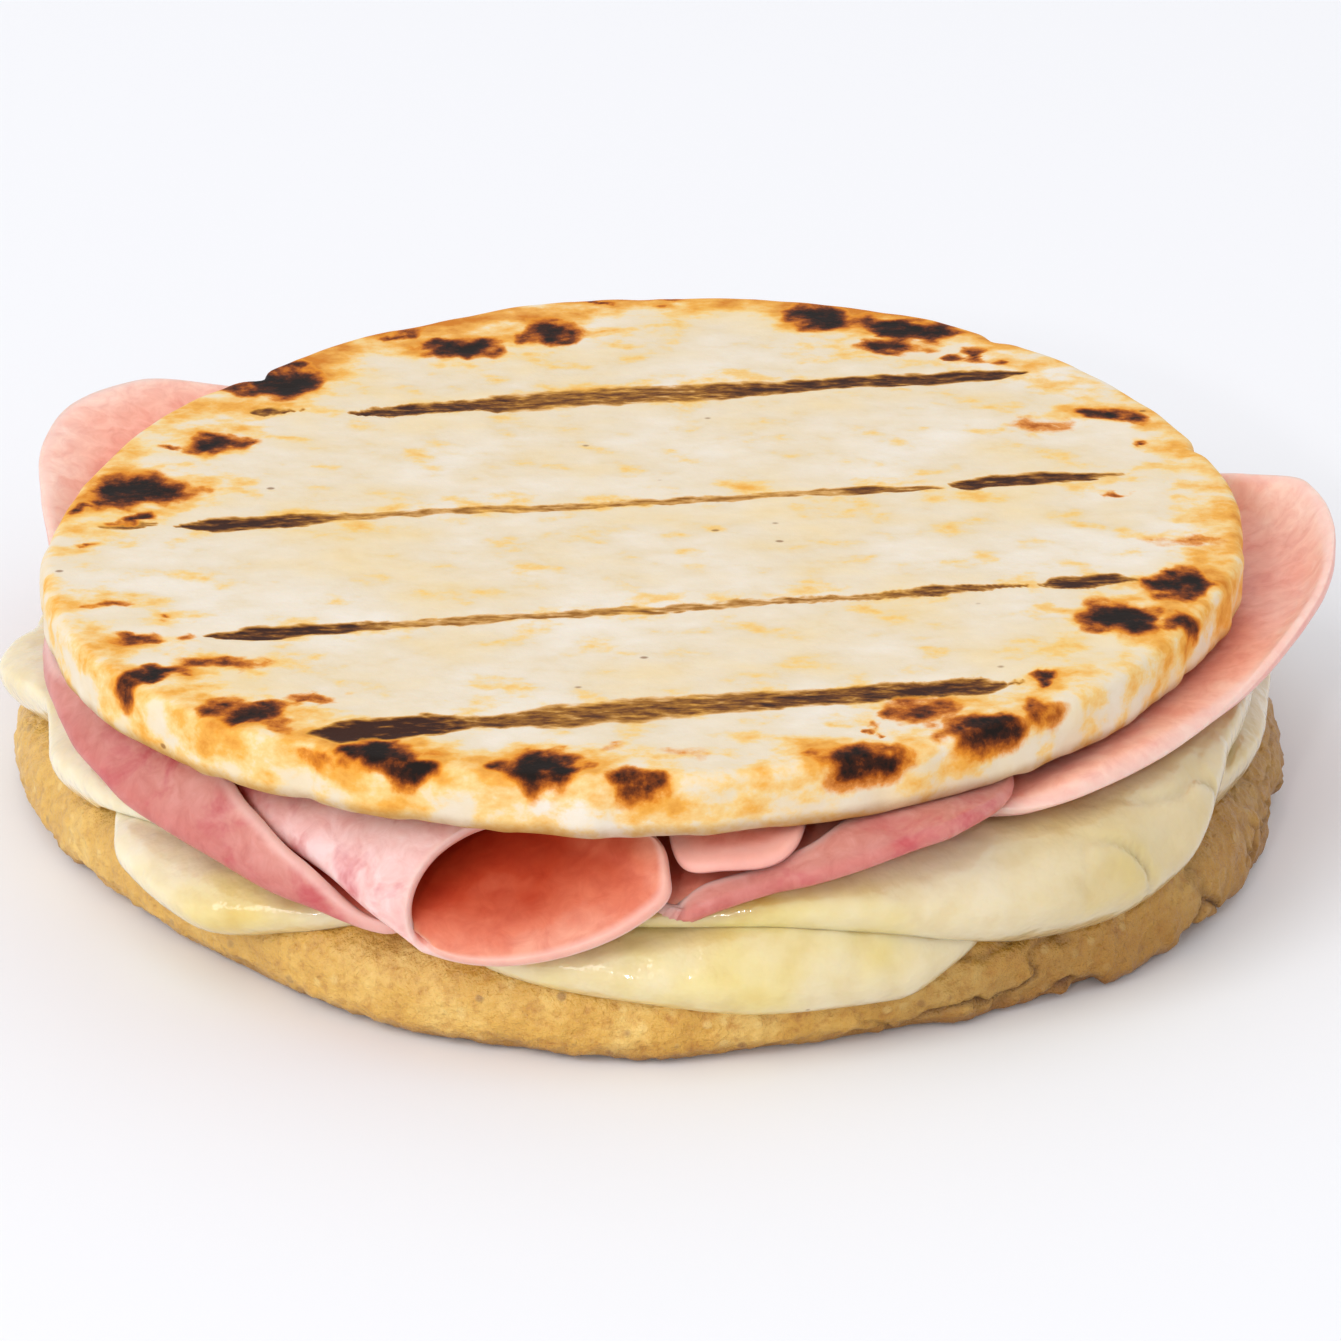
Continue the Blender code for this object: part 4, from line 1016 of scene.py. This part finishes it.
class ArepaCakeSettings(PropertyGroup):
    """Sizes and colours of the two corn cakes."""
    relief: FloatProperty(
        name="Surface Relief", description="How uneven the two cakes are; 0 is smooth",
        default=1.0, min=0.0, max=1.5, subtype="FACTOR")
    char_amount: FloatProperty(
        name="Char", description="How dark the bar marks and burnt spots are",
        default=1.0, min=0.0, max=1.5, subtype="FACTOR")
    white_dough: FloatVectorProperty(
        name="White Dough", description="Crust of the upper cake", size=4,
        default=linear("#e8dac2"), min=0.0, max=1.0, subtype="COLOR")
    char: FloatVectorProperty(
        name="Burnt Crust", description="Darkest part of a burnt spot", size=4,
        default=linear("#170b05"), min=0.0, max=1.0, subtype="COLOR")
    yellow_dough: FloatVectorProperty(
        name="Yellow Dough", description="Crumb of the lower cake", size=4,
        default=linear("#dfad4c"), min=0.0, max=1.0, subtype="COLOR")


class ArepaFillingSettings(PropertyGroup):
    """Sizes and colours of the cheese and the ham."""
    ham_thickness: FloatProperty(
        name="Ham Thickness", description="Thickness of each slice", default=HAM * MM,
        min=0.8 * MM, max=HAM * MM, unit="LENGTH", precision=4)
    relief: FloatProperty(
        name="Filling Relief", description="How uneven cheese and ham are; 0 is smooth",
        default=1.0, min=0.0, max=1.5, subtype="FACTOR")
    cheese: FloatVectorProperty(
        name="Cheese", description="Body of the melted cheese", size=4,
        default=linear("#ebddb4"), min=0.0, max=1.0, subtype="COLOR")
    ham: FloatVectorProperty(
        name="Ham", description="Lean of the folded slices", size=4,
        default=linear("#c9736b"), min=0.0, max=1.0, subtype="COLOR")
    ham_edge: FloatVectorProperty(
        name="Ham Edge", description="Cut edge of the slices", size=4,
        default=linear("#f0c3b8"), min=0.0, max=1.0, subtype="COLOR")


class ArepaStageSettings(PropertyGroup):
    """Floor, light and camera."""
    floor: FloatVectorProperty(
        name="Floor", description="Pale seamless floor", size=4,
        default=linear("#f2f2f4"), min=0.0, max=1.0, subtype="COLOR")
    sky: FloatProperty(
        name="Fill Light", description="Strength of the even light from all round",
        default=0.92, min=0.0, max=3.0)
    key: FloatProperty(
        name="Key Light", description="Power of the large soft light, in watts",
        default=23.0, min=0.0, max=200.0)
    distance: FloatProperty(
        name="Camera Distance", description="From the camera to the sandwich",
        default=0.558, min=0.2, max=3.0, unit="LENGTH")
    elevation: FloatProperty(
        name="Camera Elevation", description="How far the camera looks down",
        default=radians(25.0), min=0.0, max=radians(90.0), subtype="ANGLE")


def place(piece, node, material):
    """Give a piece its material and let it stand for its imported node."""
    piece.data.materials.append(material)
    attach(piece, "root")
    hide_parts(node)


class AREPA_OT_lower_cake(Operator):
    """Grainy yellow corn cake at the bottom"""
    bl_idname = "arepa.lower_cake"
    bl_label = "Lower Cake"

    def execute(self, context):
        looks = context.scene.arepa_cakes
        piece = skin("lower_corn_cake", *lower_cake_rings(looks.relief))
        place(piece, "cake_lower", yellow_corn_dough(looks))
        return {"FINISHED"}


class AREPA_OT_cheese(Operator):
    """Two melted cheese sheets that droop over the lower cake"""
    bl_idname = "arepa.cheese"
    bl_label = "Cheese"

    def execute(self, context):
        looks = context.scene.arepa_fillings
        split = 0.5 * (LOWER_TOP + CHEESE_CENTRE)
        material = melted_white_cheese(looks)
        lower = cheese_rings(LOWER_CHEESE, cake_reach, lower_cheese_reach,
                             LOWER_TOP + GAP, split, 31, looks.relief)
        place(skin("melted_cheese_lower", lower), "cheese_lower", material)
        upper = cheese_rings(UPPER_CHEESE, under_upper_cheese, upper_cheese_reach,
                             split + GAP, CHEESE_CENTRE, 37, looks.relief)
        place(skin("melted_cheese_upper", upper), "cheese_upper", material)
        return {"FINISHED"}


class AREPA_OT_ham(Operator):
    """Two folded ham slices, their lifted corner and the roll between them"""
    bl_idname = "arepa.ham"
    bl_label = "Ham"

    def execute(self, context):
        looks = context.scene.arepa_fillings
        thick = looks.ham_thickness / MM
        lean = looks.ham[:]
        # Slices: the outer face darkens to crimson where the mark "fold" is low, near the ring
        # under the cake, as painted shade, and lightens towards the edge; the inner face is
        # lightened to pale pink as painted light.
        slices = cooked_ham("cooked_ham_slices", looks, (
            (0.10, linear("#a03438")), (0.38, linear("#b24a4a")), (0.58, lean),
            (0.92, linear("#da968a"))), (
            (0.20, linear("#ef7c64")), (0.45, linear("#fb9f88")), (0.75, linear("#ffc2ac")),
            (1.00, linear("#ffd9c9"))))
        # The roll: outside a lighter copy of the ham, as painted light; inside salmon at the
        # mouth, darkening to deep red towards the tail as painted shade.
        rolled = cooked_ham("cooked_ham_rolled", looks, (
            (0.00, linear("#f6cbc6")), (0.45, linear("#f7cfcb")), (1.00, linear("#e6a29b"))), (
            (0.00, linear("#eea286")), (0.13, linear("#e27c5a")), (0.30, linear("#c64a28")),
            (0.48, linear("#b23114")), (1.00, linear("#7c170a"))))
        for name, keys, level, seed, node in (
                ("ham_slice_right", RIGHT_SLICE, right_level, 71, "ham_right"),
                ("ham_slice_left", LEFT_SLICE, left_level, 81, "ham_left")):
            rings = ham_slice_rings(keys, level, thick, seed, looks.relief)
            place(slab(name, rings[0], thick, *rings[1:]), node, slices)
        flap, rounding, marks = ham_flap_rings()
        place(slab("ham_slice_corner", flap, thick, rounding, marks), "ham_flap", slices)
        horn, rounding, marks = ham_roll_rings(looks.relief)
        place(slab("ham_slice_rolled", horn, thick, rounding, marks), "ham_roll", rolled)
        return {"FINISHED"}


class AREPA_OT_upper_cake(Operator):
    """White corn cake with bar marks and burnt spots on top"""
    bl_idname = "arepa.upper_cake"
    bl_label = "Upper Cake"

    def execute(self, context):
        looks = context.scene.arepa_cakes
        piece = skin("upper_corn_cake", *upper_cake_rings(looks.relief))
        place(piece, "cake_upper", white_corn_dough(looks))
        return {"FINISHED"}


class AREPA_OT_stage(Operator):
    """Pale floor, soft studio light and camera"""
    bl_idname = "arepa.stage"
    bl_label = "Stage"

    def execute(self, context):
        scene = context.scene
        looks = scene.arepa_stage
        half, low = 5.0, -0.05 * MM
        data = bpy.data.meshes.new("floor")
        data.from_pydata([(x, y, low) for x, y in ((-half, -half), (half, -half),
                                                   (half, half), (-half, half))],
                         [], [(0, 1, 2, 3)])
        floor = bpy.data.objects.new("floor", data)
        scene.collection.objects.link(floor)
        made, _, _ = finish("matt_white_paper", {"Base Color": looks.floor[:],
                                                 "Roughness": 0.9})
        data.materials.append(made)

        world = bpy.data.worlds.new("soft_studio")
        world.use_nodes = True
        back = world.node_tree.nodes["Background"]
        back.inputs["Color"].default_value = linear("#f7f8fb")
        back.inputs["Strength"].default_value = looks.sky
        scene.world = world

        # A broad softbox on the left, and a small one in front for sharp highlights.
        for name, size, share, location in (
                ("softbox", 1.5, 1.0, (-1.6, -1.35, 1.8)),
                ("small_softbox", 0.07, 0.09, (-0.32, -1.2, 0.55))):
            lamp = bpy.data.lights.new(name, "AREA")
            lamp.shape, lamp.size = "SQUARE", size
            lamp.energy = share * looks.key
            lit = bpy.data.objects.new(name, lamp)
            lit.location = location
            lit.rotation_euler = (-lit.location).to_track_quat("-Z", "Y").to_euler()
            scene.collection.objects.link(lit)

        lens = bpy.data.cameras.new("camera")
        lens.lens, lens.sensor_width, lens.clip_start = 150.0, 36.0, 0.01
        camera = bpy.data.objects.new("camera", lens)
        middle = Vector((0.9, -4.9, 13.0)) * MM
        back = Vector((0.0, -cos(looks.elevation), sin(looks.elevation)))
        camera.location = middle + looks.distance * back
        camera.rotation_euler = back.to_track_quat("Z", "Y").to_euler()
        scene.collection.objects.link(camera)
        scene.camera = camera
        scene.view_settings.view_transform = "Standard"
        return {"FINISHED"}


OPERATORS = (AREPA_OT_lower_cake, AREPA_OT_cheese, AREPA_OT_ham, AREPA_OT_upper_cake,
             AREPA_OT_stage)
SETTINGS = (("arepa_cakes", ArepaCakeSettings), ("arepa_fillings", ArepaFillingSettings),
            ("arepa_stage", ArepaStageSettings))


class AREPA_PT_sidebar(Panel):
    """Settings and pieces of the arepa sandwich"""
    bl_idname = "AREPA_PT_sidebar"
    bl_label = "Arepa Sandwich"
    bl_space_type = "VIEW_3D"
    bl_region_type = "UI"
    bl_category = "Arepa"

    def draw(self, context):
        for name, group in SETTINGS:
            column = self.layout.column(align=True)
            for setting in group.__annotations__:
                column.prop(getattr(context.scene, name), setting)
        for operator in OPERATORS:
            self.layout.operator(operator.bl_idname)


def register():
    for _, group in SETTINGS:
        bpy.utils.register_class(group)
    for name, group in SETTINGS:
        setattr(bpy.types.Scene, name, PointerProperty(type=group))
    for kind in (*OPERATORS, AREPA_PT_sidebar):
        bpy.utils.register_class(kind)


def unregister():
    for kind in (AREPA_PT_sidebar, *reversed(OPERATORS)):
        bpy.utils.unregister_class(kind)
    for name, group in reversed(SETTINGS):
        delattr(bpy.types.Scene, name)
        bpy.utils.unregister_class(group)


def main():
    """Build the sandwich and its stage."""
    register()
    bpy.ops.arepa.lower_cake()
    bpy.ops.arepa.cheese()
    bpy.ops.arepa.ham()
    bpy.ops.arepa.upper_cake()
    bpy.ops.arepa.stage()


if __name__ == "__main__":
    main()
